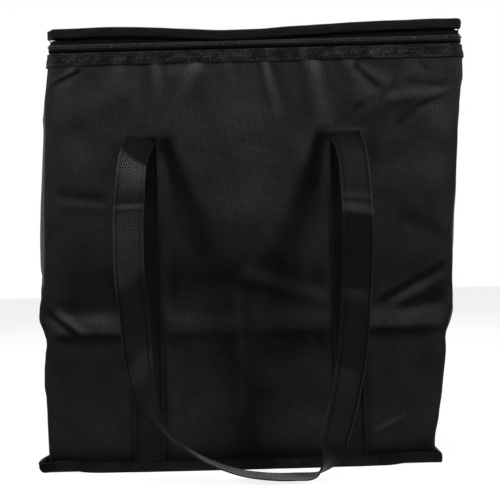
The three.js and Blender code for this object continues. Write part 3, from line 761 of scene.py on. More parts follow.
def laid_grid(columns, rows, place, rub=None):
    """A grid with a column and a row for each value, each corner set by place.

    Its last argument, where given, paints light and shade into the cloth, with some wear: how much lighter
    than plain the cloth is at each corner; 1 is twice as light.
    """
    bm = bmesh.new()
    across, up = len(columns) - 1, len(rows) - 1
    bmesh.ops.create_grid(bm, x_segments=across, y_segments=up, size=0.5)
    wear_and_shading_layer = bm.verts.layers.float.new("rub")
    spots = {}
    for vert in bm.verts:
        i = round((vert.co.x + 0.5) * across)
        j = round((vert.co.y + 0.5) * up)
        vert.co = place(columns[i], rows[j]) * MM
        vert[wear_and_shading_layer] = rub(columns[i], rows[j]) if rub else 0
        spots[vert] = (i, j)
    at = {spot: vert.co for vert, spot in spots.items()}
    u = lengths_along([at[i, up // 2] for i in range(across + 1)])
    v = lengths_along([at[across // 2, j] for j in range(up + 1)])
    run = bm.loops.layers.uv.new("run")
    for face in bm.faces:
        for loop in face.loops:
            i, j = spots[loop.vert]
            loop[run].uv = (u[i], v[j])
    bmesh.ops.remove_doubles(bm, verts=bm.verts, dist=0.002 * MM)
    bmesh.ops.recalc_face_normals(bm, faces=bm.faces)
    return bm


def make_piece(name, bm, material, body, *replaced, thickness=0):
    """A piece of the bag, in place of the replaced nodes. Its thickness goes inwards."""
    mesh = mesh_of(name, bm)
    mesh.materials.append(material)
    mesh.shade_smooth()
    piece = add_object(name, mesh)
    if thickness:
        wall = piece.modifiers.new("thickness", "SOLIDIFY")
        wall.thickness = thickness * MM
        wall.offset = -1
    if body:
        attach(piece, body)
    if replaced:
        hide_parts(*replaced)
    return piece


# %% [markdown]
# ## Shell, foam and lining
# The outer shell is four walls of cloth from the base seam to the hem, which meet in a pinched
# seam at each upright corner. Foam and foil hang inside on the same form, a few millimetres in.

# %% Outer shell
CLOTH_THICKNESS = 0.8
SHELL_LOW = 1.1
DARKEST, LIGHTEST = -0.75, 2.2
# Painted light and shade of the cloth at each height: lighter towards the top, a little darker about the
# storage fold, and a painted shadow at the base.
WALL_PAINTED_SHADING = (
    (0, -0.75), (12.5, -0.75), (18, -0.3), (27, 0), (60, -0.05), (110, -0.15), (126, -0.1),
    (160, -0.12), (200, -0.05), (260, 0.05), (320, 0.25), (393, 0.3),
)


def wall_cloth(side, step):
    """One side of the shell as a grid. Its relief is worked out first, once for each corner."""
    places, heights = side_places(side, step), levels(SHELL_LOW, BODY_HEIGHT, step)
    relief = [
        [faded_relief(side, place[1], wall_point(*place, z, 0)) for z in heights]
        for place in places
    ]

    def place(i, j):
        return wall_point(*places[i], heights[j], 0) + SIDES[side][1] * relief[i][j]

    def rub(i, j):
        """Painted light and shade, with some wear and dust: above 0 on the crest of a fold and where the
        cloth faces up, below 0 in its valley, plus the painted light and shade of its height.
        """
        total = read_off(WALL_PAINTED_SHADING, heights[j]) + 0.13 * relief[i][j]
        for reach in (4, 9):
            k = max(round(reach / step), 1)
            west, east = relief[max(i - k, 0)][j], relief[min(i + k, len(places) - 1)][j]
            low, high = relief[i][max(j - k, 0)], relief[i][min(j + k, len(heights) - 1)]
            total += 1.3 * (relief[i][j] - (west + east + low + high) / 4)
            total += 1.6 * (low - high) / (2 * reach)
        return bounded(total, DARKEST, LIGHTEST)

    return laid_grid(range(len(places)), range(len(heights)), place, rub)


# The front, which the photograph shows, has the finest grid.
for side, step, node in (
    ("front", 2.2, "front_outer_panel"),
    ("back", 3.4, "back_outer_panel"),
    ("left", 3.4, "left_outer_gusset"),
    ("right", 3.4, "right_outer_gusset"),
):
    panel = make_piece(
        f"{side}_wall_cloth", wall_cloth(side, step), shell_cloth, "bag_body", node,
        thickness=CLOTH_THICKNESS,
    )
    print(panel.name, len(panel.data.polygons), "faces")

# %% Foam and foil behind the shell
FOAM_THICKNESS = 2.4
FOAM_OUT, LINING_OUT, LINING_EDGE_OUT = -2.4, -5.4, -2.2
FOIL_THICKNESS = 0.3
FOAM_HEIGHTS = levels(4.4, 382, 5)
LINING_HEIGHTS = levels(5.4, 391.5, 4)

wall_foam = make_piece(
    "wall_foam",
    laid_grid(
        ring_places(5), FOAM_HEIGHTS, lambda place, z: soft_wall_point(*place, z, FOAM_OUT)
    ),
    foam, "bag_body", "front_foam", "back_foam", "left_foam", "right_foam",
    thickness=FOAM_THICKNESS,
)


def lining_place(place, z):
    """The foil, crumpled, and sewn to the shell at its upper edge."""
    out = LINING_OUT + (LINING_EDGE_OUT - LINING_OUT) * eased(z, 382, 391)
    point = soft_wall_point(*place, z, out)
    crumple = noise.noise(point / 9) + 0.5 * noise.noise(point / 4)
    return point - SIDES[place[0]][1] * (0.45 * (1 + crumple))


wall_lining = make_piece(
    "wall_lining", laid_grid(ring_places(4), LINING_HEIGHTS, lining_place),
    foil, "bag_body", "front_lining", "back_lining", "left_lining", "right_lining",
    thickness=FOIL_THICKNESS,
)


# %% Base: panel, foam and lining
def base_sheet(z, out, wrinkle=0):
    """A flat sheet inside the walls' outline at the base."""
    half_width, half_depth = BASE_WIDTH / 2 + out, DEPTH / 2 + out

    def place(across, along):
        x = (2 * across - 1) * half_width
        y = (2 * along - 1) * half_depth
        lift = wrinkle * noise.noise((x / 30, y / 30, z))
        return Vector((x, y, z + abs(lift)))

    shares = [i / 48 for i in range(49)]
    return laid_grid(shares, shares[::2], place)


make_piece(
    "base_panel", base_sheet(z=0.8, out=-0.2), shell_cloth, "bag_body", "bottom_outer_panel",
    thickness=CLOTH_THICKNESS,
)
base_foam = make_piece(
    "base_foam", base_sheet(z=4.1, out=-1.4), foam, "bag_body", "bottom_foam", thickness=3
)
make_piece(
    "base_lining", base_sheet(z=4.9, out=-5, wrinkle=1.6), foil, "bag_body", "bottom_lining",
    thickness=FOIL_THICKNESS,
)

# %% [markdown]
# ## Rolled edges
# A binding is a strip of the same cloth folded over a raw seam. It is a soft roll, rounded at
# its ends, that waves a little because the seam under it is puckered. It is made as a tube:
# the grid's columns go round a rounded section and its rows along the seam.


# %% Parts of a roll
def circle(count):
    """Angles once round, the last on the first."""
    return [2 * math.pi * i / count for i in range(count + 1)]


def roll_corner(angle, half_thickness, half_height):
    """A point of a rounded box section: an ellipse pushed towards its corners."""
    c, s = math.cos(angle), math.sin(angle)
    return (
        math.copysign(abs(c) ** 0.6, c) * half_thickness,
        math.copysign(abs(s) ** 0.6, s) * half_height,
    )


def dome(distance, reach):
    """1 along a roll, falling to 0 in a round end."""
    t = bounded(distance / reach, 0, 1)
    return math.sqrt(max(1 - (1 - t) ** 2, 0))


def roll_rows(low_end, high_end, reach):
    """Rows along a roll, closer together in its round ends."""
    shares = (0, 0.04, 0.15, 0.35, 0.6)
    rows = [low_end + reach * t for t in shares]
    rows += levels(low_end + reach, high_end - reach, 2)
    return rows + [high_end - reach * t for t in reversed(shares)]


def rib_painted_shading(angle, s, patch_share, patch_length):
    """Painted light and shade of the fine ribs that a puckered seam has, with broader patches."""
    patches = noise.noise((s / patch_length, angle, 5))
    return noise.noise((s / 1.7, angle, 3)) + patch_share * patches


# %% Base binding
BASE_ROLL_HEIGHT = 10
BASE_ROLL_THICKNESS = 4.8
BASE_ROLL_END = 5
BASE_FLARE = 4.2


def base_roll_painted_light(angle, s):
    """A painted highlight along the base binding's lower edge and painted shade along its upper edge, over
    the ribs' painted light and shade.
    """
    ribs = rib_painted_shading(angle, s, 0.8, 16)
    return 0.6 * bell(angle - 5.5, 0.9) - 0.65 * bell(angle - 1.2, 0.8) + 0.8 * ribs - 0.05


def base_roll(side, low_end, high_end):
    """A bound seam along one side of the base, between two places given along that side."""
    along, outward = SIDES[side]
    wide = side in WIDE_SIDES
    face, reach = (DEPTH / 2, BASE_WIDTH / 2) if wide else (BASE_WIDTH / 2, DEPTH / 2)

    def place(angle, s):
        share = s / reach
        size = dome(min(s - low_end, high_end - s), BASE_ROLL_END)
        out, up = roll_corner(angle, BASE_ROLL_THICKNESS / 2, BASE_ROLL_HEIGHT / 2)
        lift = 2.4 * bell(abs(s) - 163, 14) if wide else 0
        wave = 0.9 * noise.noise((s / 34, face, 2))
        flare = 0 if side == "right" else BASE_FLARE * eased(abs(share + 0.06), 0.62, 1)
        bow = base_bow(share) if wide else 0
        middle = BASE_ROLL_HEIGHT / 2 + lift + 0.4 * abs(wave)
        stand = face + bow + 0.3 + BASE_ROLL_THICKNESS / 2 + out * size
        stand += flare * (up / BASE_ROLL_HEIGHT + 0.5) + 0.7 * wave
        return along * s + outward * stand + Vector((0, 0, middle + up * size))

    rows = roll_rows(low_end, high_end, BASE_ROLL_END)
    return laid_grid(circle(16), rows, place, base_roll_painted_light)


for side, low_end, high_end in (
    ("front", -189.5, 187), ("right", -113.5, 113), ("back", -188, 190.5), ("left", -113, 110)
):
    roll = base_roll(side, low_end, high_end)
    make_piece(f"{side}_base_roll", roll, binding_cloth, "bag_body", f"{side}_base_binding")

# %% [markdown]
# ## Hem
# The top of the shell is folded over and sewn down with two rows of thread. The thread draws
# the cloth up into tiny upright puckers, which is why the hem glitters in the photograph.
# The glints on the puckers' crests are also painted into the cloth's colour.

# %% Top hem
HEM_OUT = 0.95
HEM_HALF_THICKNESS = 0.65
HEM_SEAMS = (BODY_HEIGHT - 3.2, HEM_LOW + 2.2)
HEM_STITCH_OUT = 1.75


def hem_section(angle):
    """A point of the hem's section: how far out it lies, and its height."""
    out, up = roll_corner(angle, HEM_HALF_THICKNESS, (BODY_HEIGHT - HEM_LOW) / 2)
    return out, (BODY_HEIGHT + HEM_LOW) / 2 + up


def near_seam(z, half_width):
    """1 on a row of stitches, falling to 0 beside it."""
    return sum(bell(z - seam, half_width) for seam in HEM_SEAMS)


def hem_place(angle, place):
    """A point of the hem, drawn up in puckers and pulled in along its two seams."""
    out, z = hem_section(angle)
    smooth = wall_point(*place, z, HEM_OUT)
    spot = smooth.x + smooth.y
    pucker = noise.noise((spot / 3.6, z / 22, 4)) + 0.6 * noise.noise((spot / 9, z / 30, 8))
    shift = 0.75 * pucker - 0.4 * near_seam(z, 1.1) + 0.25
    return wall_point(*place, z, HEM_OUT + out + shift)


def hem_painted_glints(angle, place):
    """Painted glints on the crests of the puckers, and painted shade along the two seams."""
    z = hem_section(angle)[1]
    smooth = wall_point(*place, z, 0)
    spot = smooth.x + smooth.y
    glitter = noise.noise((spot / 2.1, z / 2.4, 4)) + noise.noise((spot / 11, z / 7, 1))
    return bounded(0.25 + 2.6 * glitter - 1.4 * near_seam(z, 0.9), -0.6, 3)


make_piece(
    "top_hem", laid_grid(circle(32), ring_places(1.8), hem_place, hem_painted_glints),
    shell_cloth, "bag_body", "front_top_hem", "right_top_hem", "back_top_hem", "left_top_hem",
)

# %% [markdown]
# ## Stitches
# Each stitch is a short, fat grain of thread lying on the cloth. It starts as a small
# icosphere, drawn out along the seam, and one function lays a row of them on any line.

# %% Stitch helpers
STITCH_PITCH = 3.1
STITCH_LENGTH = 2.3
THREAD_RADIUS = 0.36


def shape_of(make, **settings):
    """A small mesh made once by an operator, to be stamped many times."""
    bm = bmesh.new()
    make(bm, **settings)
    return mesh_of("stamp", bm)


def stamp(bm, shape, place):
    """Adds a copy of a small mesh at a place."""
    full = Matrix.Scale(MM, 4) @ place
    shape.transform(full)
    bm.from_mesh(shape)
    shape.transform(full.inverted())


def along_line(line, pitch):
    """Evenly spaced spots on a line: each one's step, its share of the step and its place."""
    runs = lengths_along(line)
    step = 0
    for index in range(int(runs[-1] / pitch)):
        s = (index + 0.5) * pitch
        while runs[step + 1] < s:
            step += 1
        t = (s - runs[step]) / (runs[step + 1] - runs[step])
        yield step, t, line[step].lerp(line[step + 1], t)


STITCH = shape_of(bmesh.ops.create_icosphere, subdivisions=1, radius=1)


def lay_stitches(bm, line, normals):
    """Adds stitches along a line of points with the cloth's normals."""
    for step, t, spot in along_line(line, STITCH_PITCH):
        run = (line[step + 1] - line[step]).normalized()
        out = normals[step].lerp(normals[step + 1], t)
        out = (out - run * out.dot(run)).normalized()
        turn = Matrix((run, out.cross(run), out)).transposed().to_4x4()
        size = Matrix.Diagonal((STITCH_LENGTH / 2, THREAD_RADIUS, THREAD_RADIUS * 0.8, 1))
        stamp(bm, STITCH, Matrix.Translation(spot - out * 0.05) @ turn @ size)


# %% Hem stitches
hem_rows = bmesh.new()
seam_places = ring_places(3)
for z in HEM_SEAMS:
    line = [wall_point(*place, z, HEM_STITCH_OUT) for place in seam_places]
    lay_stitches(hem_rows, line, [SIDES[side][1] for side, _, _ in seam_places])
make_piece("hem_stitches", hem_rows, hem_thread, "bag_body")

# %% [markdown]
# ## Zip
# A coil zip is two woven tapes, each with a nylon spring sewn along its edge over a cord. The upper row
# shows its coils as a line of light beads, lit by a painted highlight in the nylon's colour; the lower row
# is finer and lies deeper, in the upper one's shadow. The beads are flattened spheres set along the same
# line that the tapes follow, and they stop where the tapes are sewn into the back corners.

# %% Zip tapes
TAPE_OUT = -1.1
TAPE_THICKNESS = 0.7
TAPE_PLACES = zip_places(6)
LOWER_TAPE_TOP = 397.2
UPPER_TAPE_LOW, UPPER_TAPE_TOP = 400, 409.6


def edge_sag(side, x):
    """How far the lid's edge hangs below a straight line, at a place along it."""
    if side == "front":
        return 5.4 * bell(x + 2, 62 if x < -2 else 93) + 0.8 * eased(-x, 120, 175)
    if side == "back":
        return 4 * bell(x - 20, 100)
    return 0.8 if side == "left" else 0


def upper_tape_place(place, t):
    """A point of the upper tape, from its low edge to its top, which follows the lid's edge."""
    low = wall_point(*place, UPPER_TAPE_LOW, TAPE_OUT)
    top = UPPER_TAPE_TOP - (edge_sag("front", low.x) if place[0] == "front" else 0)
    return Vector((low.x, low.y, UPPER_TAPE_LOW + (top - UPPER_TAPE_LOW) * t))


make_piece(
    "lower_zip_band",
    laid_grid(
        TAPE_PLACES, levels(385, LOWER_TAPE_TOP, 2),
        lambda place, z: wall_point(*place, z, TAPE_OUT),
    ),
    zip_tape, "bag_body", "lower_zip_tape_left", "lower_zip_tape_front",
    "lower_zip_tape_right", thickness=TAPE_THICKNESS,
)
make_piece(
    "upper_zip_band", laid_grid(TAPE_PLACES, [0, 0.25, 0.5, 0.75, 1], upper_tape_place),
    zip_tape, "lid", "upper_zip_tape_left", "upper_zip_tape_front",
    "upper_zip_tape_right", thickness=TAPE_THICKNESS,
)

# %% Zip teeth and cords
TOOTH_PITCH = 2.55
TOOTH_SLANT = math.radians(24)
TOOTH = shape_of(bmesh.ops.create_uvsphere, u_segments=8, v_segments=5, radius=1)


def tooth_row(z, out, size):
    """Beads of nylon along the zip, each with its own half sizes along, out and up."""
    bm = bmesh.new()
    up = Vector((0, 0, 1))
    line = [wall_point(*place, z, out) for place in TAPE_PLACES]
    for step, _, spot in along_line(line, TOOTH_PITCH):
        run = (line[step + 1] - line[step]).normalized()
        turn = Matrix((run, run.cross(up), up)).transposed().to_4x4()
        turn = turn @ Matrix.Rotation(TOOTH_SLANT, 4, "Y")
        stamp(bm, TOOTH, Matrix.Translation(spot) @ turn @ Matrix.Diagonal((*size, 1)))
    return bm


def zip_cord(z, half_height, half_depth, out):
    """The smooth roll under a row of teeth, where the coil is sewn to its tape."""
    def place(angle, spot):
        o, up = roll_corner(angle, half_depth, half_height)
        return wall_point(*spot, z + up, out + o)

    bm = laid_grid(circle(10), TAPE_PLACES, place)
    bmesh.ops.holes_fill(bm, edges=bm.edges, sides=0)
    return bm


lower_cord = zip_cord(z=396.4, half_height=1.7, half_depth=1, out=-0.2)
lower_teeth = tooth_row(z=397.9, out=0.2, size=(0.42, 0.8, 0.5))
upper_teeth = tooth_row(z=400, out=0.7, size=(0.36, 0.9, 1.05))
upper_cord = zip_cord(z=401.5, half_height=1, half_depth=0.8, out=-0.5)
make_piece("lower_zip_cord", lower_cord, zip_tape, "bag_body")
make_piece("lower_zip_teeth", lower_teeth, zip_nylon, "bag_body", "lower_zip_coil")
make_piece("upper_zip_teeth", upper_teeth, zip_nylon, "lid", "upper_zip_coil")
make_piece("upper_zip_cord", upper_cord, zip_tape, "lid")

# %% Hinge strip
HINGE_AXIS_Y = 106.05
# Where the strip starts to stand upright, above the body's rounder corners.
HINGE_UPRIGHT = 398


def hinge_place(spot, z):
    """A point of the strip that joins the lid to the back wall."""
    share, turn = spot
    point = wall_point("back", share, math.radians(turn), min(z, HINGE_UPRIGHT), TAPE_OUT)
    return Vector((point.x, point.y, z))


# The strip goes round both back corners. Its rows are closest where it bends.
hinge_spots = [(-1, -66), (-1, -44), (-1, -22)]
hinge_spots += [(2 * i / 60 - 1, 0) for i in range(61)]
hinge_spots += [(1, 22), (1, 44), (1, 66)]
hinge_rows = [385, 388, 391, 394, 395.5, 396.5, 397.5, 398, 398.5, 399, 399.5, 400.5, 401.5]
hinge_rows += [403, 405, 407]
hinge_strip = make_piece(
    "hinge_strip", laid_grid(hinge_spots, hinge_rows, hinge_place),
    zip_tape, None, "hinge_tape", "lid_hinge_tape", thickness=TAPE_THICKNESS,
)
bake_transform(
    hinge_strip, "bag_body", "lid",
    start=(0.0, HINGE_AXIS_Y * MM, 0.3955), end=(0.0, HINGE_AXIS_Y * MM, 0.4015),
)

# %% End stops
for side in ("left", "right"):
    low, high = node_corners(f"zip_end_stop_{side}")
    stop = bmesh.new()
    middle = Matrix.Translation((low + high) / 2 * MM)
    size = Matrix.Diagonal((*((high - low) * MM), 1))
    bmesh.ops.create_cube(stop, size=1, matrix=middle @ size)
    bmesh.ops.bevel(
        stop, geom=stop.edges[:], offset=0.7 * MM, segments=3, profile=0.5, affect="EDGES",
        material=-1,
    )
    stop.loops.layers.uv.new("run")
    make_piece(f"{side}_zip_end", stop, zip_tape, "bag_body", f"zip_end_stop_{side}")

# %% Slider and pull tab
for name in ("zip_slider", "zip_pull_tab"):
    metal = frame["nodes"][name]
    metal.data.materials.clear()
    metal.data.materials.append(enamel)
    weld = metal.modifiers.new("weld", "WELD")
    weld.merge_threshold = 0.01 * MM
    rounding = metal.modifiers.new("rounding", "BEVEL")
    rounding.width = 0.22 * MM
    rounding.segments = 3
    rounding.limit_method = "ANGLE"

# %% [markdown]
# ## Lid
# The lid is a thin pad: cloth, foam and foil sewn together round the edge. Empty, it sinks
# between its edges. A binding runs round it, with short tails at the corners that stand free.

# %% The lid's plan and its sag
LID_TOP = 411.1
# Folds across the lid, in plan. A height above 0 lies lower, as it is part of the sag.
LID_CREASES = (
    (-150, -86, -70, 10, 9, 1.3), (-132, -90, -54, 2, 6, -1), (96, 88, 190, -20, 9, 1.2),
    (120, 92, 206, 2, 6, -0.9), (-40, 60, 70, -50, 12, -0.8), (-160, 70, -60, 92, 7, -0.9),
    (60, -92, 170, -70, 7, 0.9),
)


def lid_sag(point, share, depth):
    """How far the lid's top lies below its highest edge."""
    front = (1 - depth) / 2
    edge = front * edge_sag("front", point.x) + (1 - front) * edge_sag("back", point.x)
    sunk = 8 * (1 - share ** 2) ** 0.8 * (1 - depth ** 2)
    waves = 2.2 * noise.noise((point.x / 50, point.y / 50, 6))
    waves += sum(ridge(point.x, point.y, *crease) for crease in LID_CREASES)
    quiet = (1 - share ** 6) * (1 - depth ** 6)
    return edge + sunk + waves * quiet


def lid_sheet(out, below=0, crumple=0):
    """A sheet over the lid's plan, some way below its top. Share and depth go from -1 to 1."""
    def place(share, depth):
        x = LEAN + share * (TOP_WIDTH / 2 + out)
        point = Vector((x, depth * (DEPTH / 2 + out), 0))
        point.z = LID_TOP - below - lid_sag(point, share, depth)
        rough = 0.5 + noise.noise(point / 8) + 0.5 * noise.noise(point / 3.5)
        point.z -= crumple * max(rough, 0)
        return point

    shares = [2 * i / 90 - 1 for i in range(91)]
    depths = [2 * i / 50 - 1 for i in range(51)]
    return laid_grid(shares, depths, place)


# %% [markdown]
# Nothing holds the lid up, so its cloth creeps and buckles between its sewn edges. Placing such
# wrinkles by hand looks made up. A cloth simulation finds them: the sheet is pinned along its
# edge, given a little more cloth than there is room for, and left to settle for a second.
# The foil under it is quilted to the same foam, so it takes the same moves.

# %% Settling the lid
LAST_FRAME = 22
LID_SEAM = 5
LID_MOVE_MOST = 4 * MM


def settled(bm, held, slack):
    """How far each corner of a cloth grid moves as it settles under its own weight."""
    form = bpy.data.meshes.new("settling")
    bm.to_mesh(form)
    cloth = add_object("settling", form)
    pins = cloth.vertex_groups.new(name="sewn")
    pins.add([v.index for v in form.vertices if held(v.co)], 1, "REPLACE")
    weave = cloth.modifiers.new("cloth", "CLOTH").settings
    weave.vertex_group_mass = "sewn"
    weave.shrink_min = -slack
    weave.quality = 6
    weave.mass = 0.2
    weave.tension_stiffness = 25
    weave.compression_stiffness = 25
    weave.bending_stiffness = 2
    scene = bpy.context.scene
    for number in range(1, LAST_FRAME + 1):
        scene.frame_set(number)
    after = cloth.evaluated_get(bpy.context.evaluated_depsgraph_get()).data
    moves = [late.co - early.co for early, late in zip(form.vertices, after.vertices)]
    bpy.data.objects.remove(cloth)
    scene.frame_set(1)
    return moves


def on_lid_edge(point):
    """True along the lid's sewn edge."""
    x, y = abs(point.x / MM - LEAN), abs(point.y / MM)
    return x > TOP_WIDTH / 2 - LID_SEAM or y > DEPTH / 2 - LID_SEAM


lid_cloth = lid_sheet(out=-1.3)
lid_moves = settled(lid_cloth, on_lid_edge, slack=0.03)
lid_moves = [move * min(1, LID_MOVE_MOST / max(move.length, 1e-9)) for move in lid_moves]
print("the lid's cloth moves by up to", round(max(m.length for m in lid_moves) / MM, 2), "mm")


# %% Wear and painted shading on the lid
def paint_wear_and_shading(bm, strength):
    """Paints the cloth lighter where it stands above the corners round it, as wear and painted light, and
    darker below them, as painted shade.
    """
    wear_and_shading_layer = bm.verts.layers.float["rub"]
    height = {vert: vert.co.z / MM for vert in bm.verts}
    for vert in bm.verts:
        neighbours = [edge.other_vert(vert) for edge in vert.link_edges]
        around = [height[v] for near in neighbours for e in near.link_edges for v in e.verts]
        rise = height[vert] - sum(around) / len(around)
        patch = 0.25 * noise.noise(vert.co / MM / 40)
        vert[wear_and_shading_layer] = bounded(strength * rise + patch + 0.1, -0.7, 1.6)


# %% Lid pad and its foil, after settling
lid_film = lid_sheet(out=-1.35, below=4.3, crumple=0.4)
for sheet in (lid_cloth, lid_film):
    for vert, move in zip(sheet.verts, lid_moves):
        vert.co += move
paint_wear_and_shading(lid_cloth, strength=3)
lid_pad = make_piece(
    "lid_pad", lid_cloth, shell_cloth, "lid", "lid_outer_panel", "lid_foam", thickness=3
)
make_piece("lid_foil", lid_film, foil, "lid", "lid_lining", thickness=FOIL_THICKNESS)

# %% Lid binding
LID_EDGE_LOW = 407.2
LID_ROLL_HEIGHT = 9.4
LID_ROLL_THICKNESS = 3.8
LID_ROLL_END = 4
# How far the binding's inner face lies inside the lid's edge, on the wide and the narrow sides.
LID_ROLL_TUCK, LID_ROLL_SIDE_TUCK = 0.8, 2.8


def lid_roll_painted_light(angle, s):
    """A painted highlight along the lid binding's upper edge, over the ribs' painted light and shade."""
    return 0.9 * bell(angle - 1.9, 0.7) + 0.9 * rib_painted_shading(angle, s, 0.6, 12) - 0.25


def lid_roll(side, low_end, high_end):
    """The binding along one side of the lid, between two places given along that side."""
    along, outward = SIDES[side]
    wide = side in WIDE_SIDES
    face = DEPTH / 2 if wide else TOP_WIDTH / 2
    inner = face - (LID_ROLL_TUCK if wide else LID_ROLL_SIDE_TUCK)

    def place(angle, s):
        size = dome(min(s - low_end, high_end - s), LID_ROLL_END)
        out, up = roll_corner(angle, LID_ROLL_THICKNESS / 2, LID_ROLL_HEIGHT / 2)
        point = Vector((LEAN, 0, 0)) + along * s
        wave = noise.noise((s / 26, face, 12))
        fray = 0.35 * noise.noise((s / 3, face, angle))
        middle = LID_EDGE_LOW + LID_ROLL_HEIGHT / 2 - edge_sag(side, point.x) + 0.35 * wave
        stand = inner + LID_ROLL_THICKNESS / 2 + (out + fray * (out > 0)) * size + 0.5 * wave
        return point + outward * stand + Vector((0, 0, middle + up * size))

    rows = roll_rows(low_end, high_end, LID_ROLL_END)
    return laid_grid(circle(16), rows, place, lid_roll_painted_light)


for side, low_end, high_end in (
    ("front", -192, 194.7), ("back", -194.7, 193.3), ("left", -109, 105.5), ("right", -109, 109)
):
    roll = lid_roll(side, low_end, high_end)
    make_piece(f"{side}_lid_roll", roll, binding_cloth, "lid", f"lid_binding_{side}")

# %% [markdown]
# ## Carrying straps
# Each strap is one long strip: sewn up the wall from the base seam, folded over, hanging as a loop, folded
# again and sewn down. The loop twists by half a turn on its way, so its inner face looks up where it crosses
# low in front of the bag. Its route is a list of given places, and the section is swept along it with the
# twist that each place has.

# %% Route of the loop
FOLD_Y = 116.23
FOLD_Z = 309.5
FOLD_RADIUS = 2.6
FOLD_SHIFT = 1.4
STRAP_CLEARANCE = 1.1
LOOP_END = (FOLD_Y + FOLD_RADIUS + 0.5, 307.5)
# Each place: x, distance off the middle plane, height, and twist in degrees.
LOOP_ROUTE = (
    (-86.5, *LOOP_END, 0), (-90.5, 121, 300, 2), (-93.6, 123.5, 289, 5), (-94.6, 126, 283, 8),
    (-96, 139.5, 252, 9), (-96.4, 142.5, 242, 9), (-96.5, 145.5, 238, 9), (-96.5, 150, 219, 9),
    (-95.8, 157, 188, 10), (-94.9, 159, 176, 11), (-92.8, 160, 158, 13), (-90.6, 162, 132, 18),
    (-88, 166.5, 104, 26), (-82.5, 170.5, 74, 42), (-62.5, 172.8, 43.5, 68),
    (-36.2, 173.6, 23.6, 77), (-5, 174, 10.2, 80), (22, 174, 5.2, 82), (47, 174, 4.2, 88),
    (66, 173.8, 5.8, 104), (79.5, 171.8, 20, 134), (84.6, 169, 38.5, 150),
    (93.4, 164, 69, 158), (102.2, 158, 112, 163), (106.9, 154, 156, 166),
    (107.6, 153.4, 164, 167), (109.8, 151.5, 201, 170), (110.6, 150, 234, 173),
    (110.7, 148, 239, 174), (110.8, 144.5, 244, 174), (110.6, 135, 268, 175),
    (109.6, 127.5, 288, 177), (107.6, 122, 300, 179), (104.4, *LOOP_END, 180),
)


def between(a, b, start, end, t):
    """A row of values that is a where t is the start, and b where it is the end."""
    share = (t - start) / (end - start)
    return [p + (q - p) * share for p, q in zip(a, b)]


def through(knots, step):
    """Points about a step apart on a smooth curve through knots of four values each."""
    before, after = between(*knots[:2], 0, 1, -1), between(*knots[-2:], 0, 1, 2)
    full = [before, *knots, after]
    points = []
    for a, b, c, d in zip(full, full[1:], full[2:], full[3:]):
        gaps = [math.dist(p[:3], q[:3]) for p, q in ((a, b), (b, c), (c, d))]
        t1, t2, t3 = (sum(math.sqrt(gap) for gap in gaps[:k]) for k in (1, 2, 3))
        count = max(round(gaps[1] / step), 1)
        for i in range(count):
            t = t1 + (t2 - t1) * i / count
            middle = between(b, c, t1, t2, t)
            sooner = between(between(a, b, 0, t1, t), middle, 0, t2, t)
            later = between(middle, between(c, d, t2, t3, t), t1, t3, t)
            points.append(between(sooner, later, t1, t2, t))
    return points + [list(knots[-1])]


# %% Route of the whole strap
def wall_reach(side, x, z):
    """Distance from the middle plane to the shell's outside, where a strap lies on it."""
    left, right = side_faces(z)
    toward = 1 if side == "front" else -1
    share = toward * (x - (left + right) / 2) / ((right - left) / 2 - corner_radius(z))
    smooth = wall_point(side, share, 0, z, 0)
    return abs(smooth.y) + cloth_relief(side, smooth)


def sewn_route(side, middle, twist):
    """Places up a strap's sewn part, on the wall, from the base to its fold."""
    x = middle if side == "front" else 2 * STRAP_MIDDLE - middle
    rows = []
    for z in levels(6, FOLD_Z, 5):
        reach = max(wall_reach(side, x + offset, z) for offset in (-12, 0, 12))
        stand = reach + STRAP_CLEARANCE
        stand += (FOLD_Y - FOLD_RADIUS - stand) * eased(z, FOLD_Z - 30, FOLD_Z)
        rows.append((middle, stand, z, twist))
    return rows


def fold_route(middle, twist):
    """Places over a strap's upper fold, which shifts it away from the bag's middle."""
    rows = []
    for i in range(1, 12):
        angle = math.pi * i / 12
        x = middle + math.copysign(FOLD_SHIFT, middle - STRAP_MIDDLE) * i / 12
        off = FOLD_Y - FOLD_RADIUS * math.cos(angle)
        rows.append((x, off, FOLD_Z + FOLD_RADIUS * math.sin(angle), twist))
    return rows


def strap_route(side):
    """The whole strap's middle line: x, distance off the middle plane, height and twist."""
    left, right = STRAP_PLACES
    up = sewn_route(side, left, 0) + fold_route(left, 0)
    down = sewn_route(side, right, 180) + fold_route(right, 180)
    return up + through(LOOP_ROUTE, 2) + down[::-1]


# %% Strap frames along the route
def facing(side, x, off, z):
    """A strap's point in the bag's axes; the back strap is the front one turned half round."""
    return Vector((x, -off, z) if side == "front" else (2 * STRAP_MIDDLE - x, off, z))


def strap_frames(side):
    """For each place on the strap: its point, and the ways along its width and out of its face."""
    route = strap_route(side)
    points = [facing(side, *row[:3]) for row in route]
    toward = 1 if side == "front" else -1
    frames = []
    for i, row in enumerate(route):
        before, after = points[max(i - 1, 0)], points[min(i + 1, len(points) - 1)]
        run = (after - before).normalized()
        twist = math.radians(row[3])
        width = Vector((math.cos(twist), -math.sin(twist), 0)) * toward
        width = (width - run * width.dot(run)).normalized()
        frames.append((points[i], width, run.cross(width)))
    return frames


# %% Section and painted light of a strap
# Places across the width, each with half the strap's thickness there.
STRAP_SECTION = (
    (-14, 0.3), (-13.4, 0.95), (-12.2, 1.15), (-11.4, 0.95), (-11, 0.65), (-10.6, 0.85),
    (-9.6, 0.9), (-5, 0.85), (0, 0.85), (5, 0.85), (9.6, 0.9), (10.6, 0.85), (11, 0.65),
    (11.4, 0.95), (12.2, 1.15), (13.4, 0.95), (14, 0.3),
)
SEAM_ACROSS = 11
SEAM_LIFT = 0.62
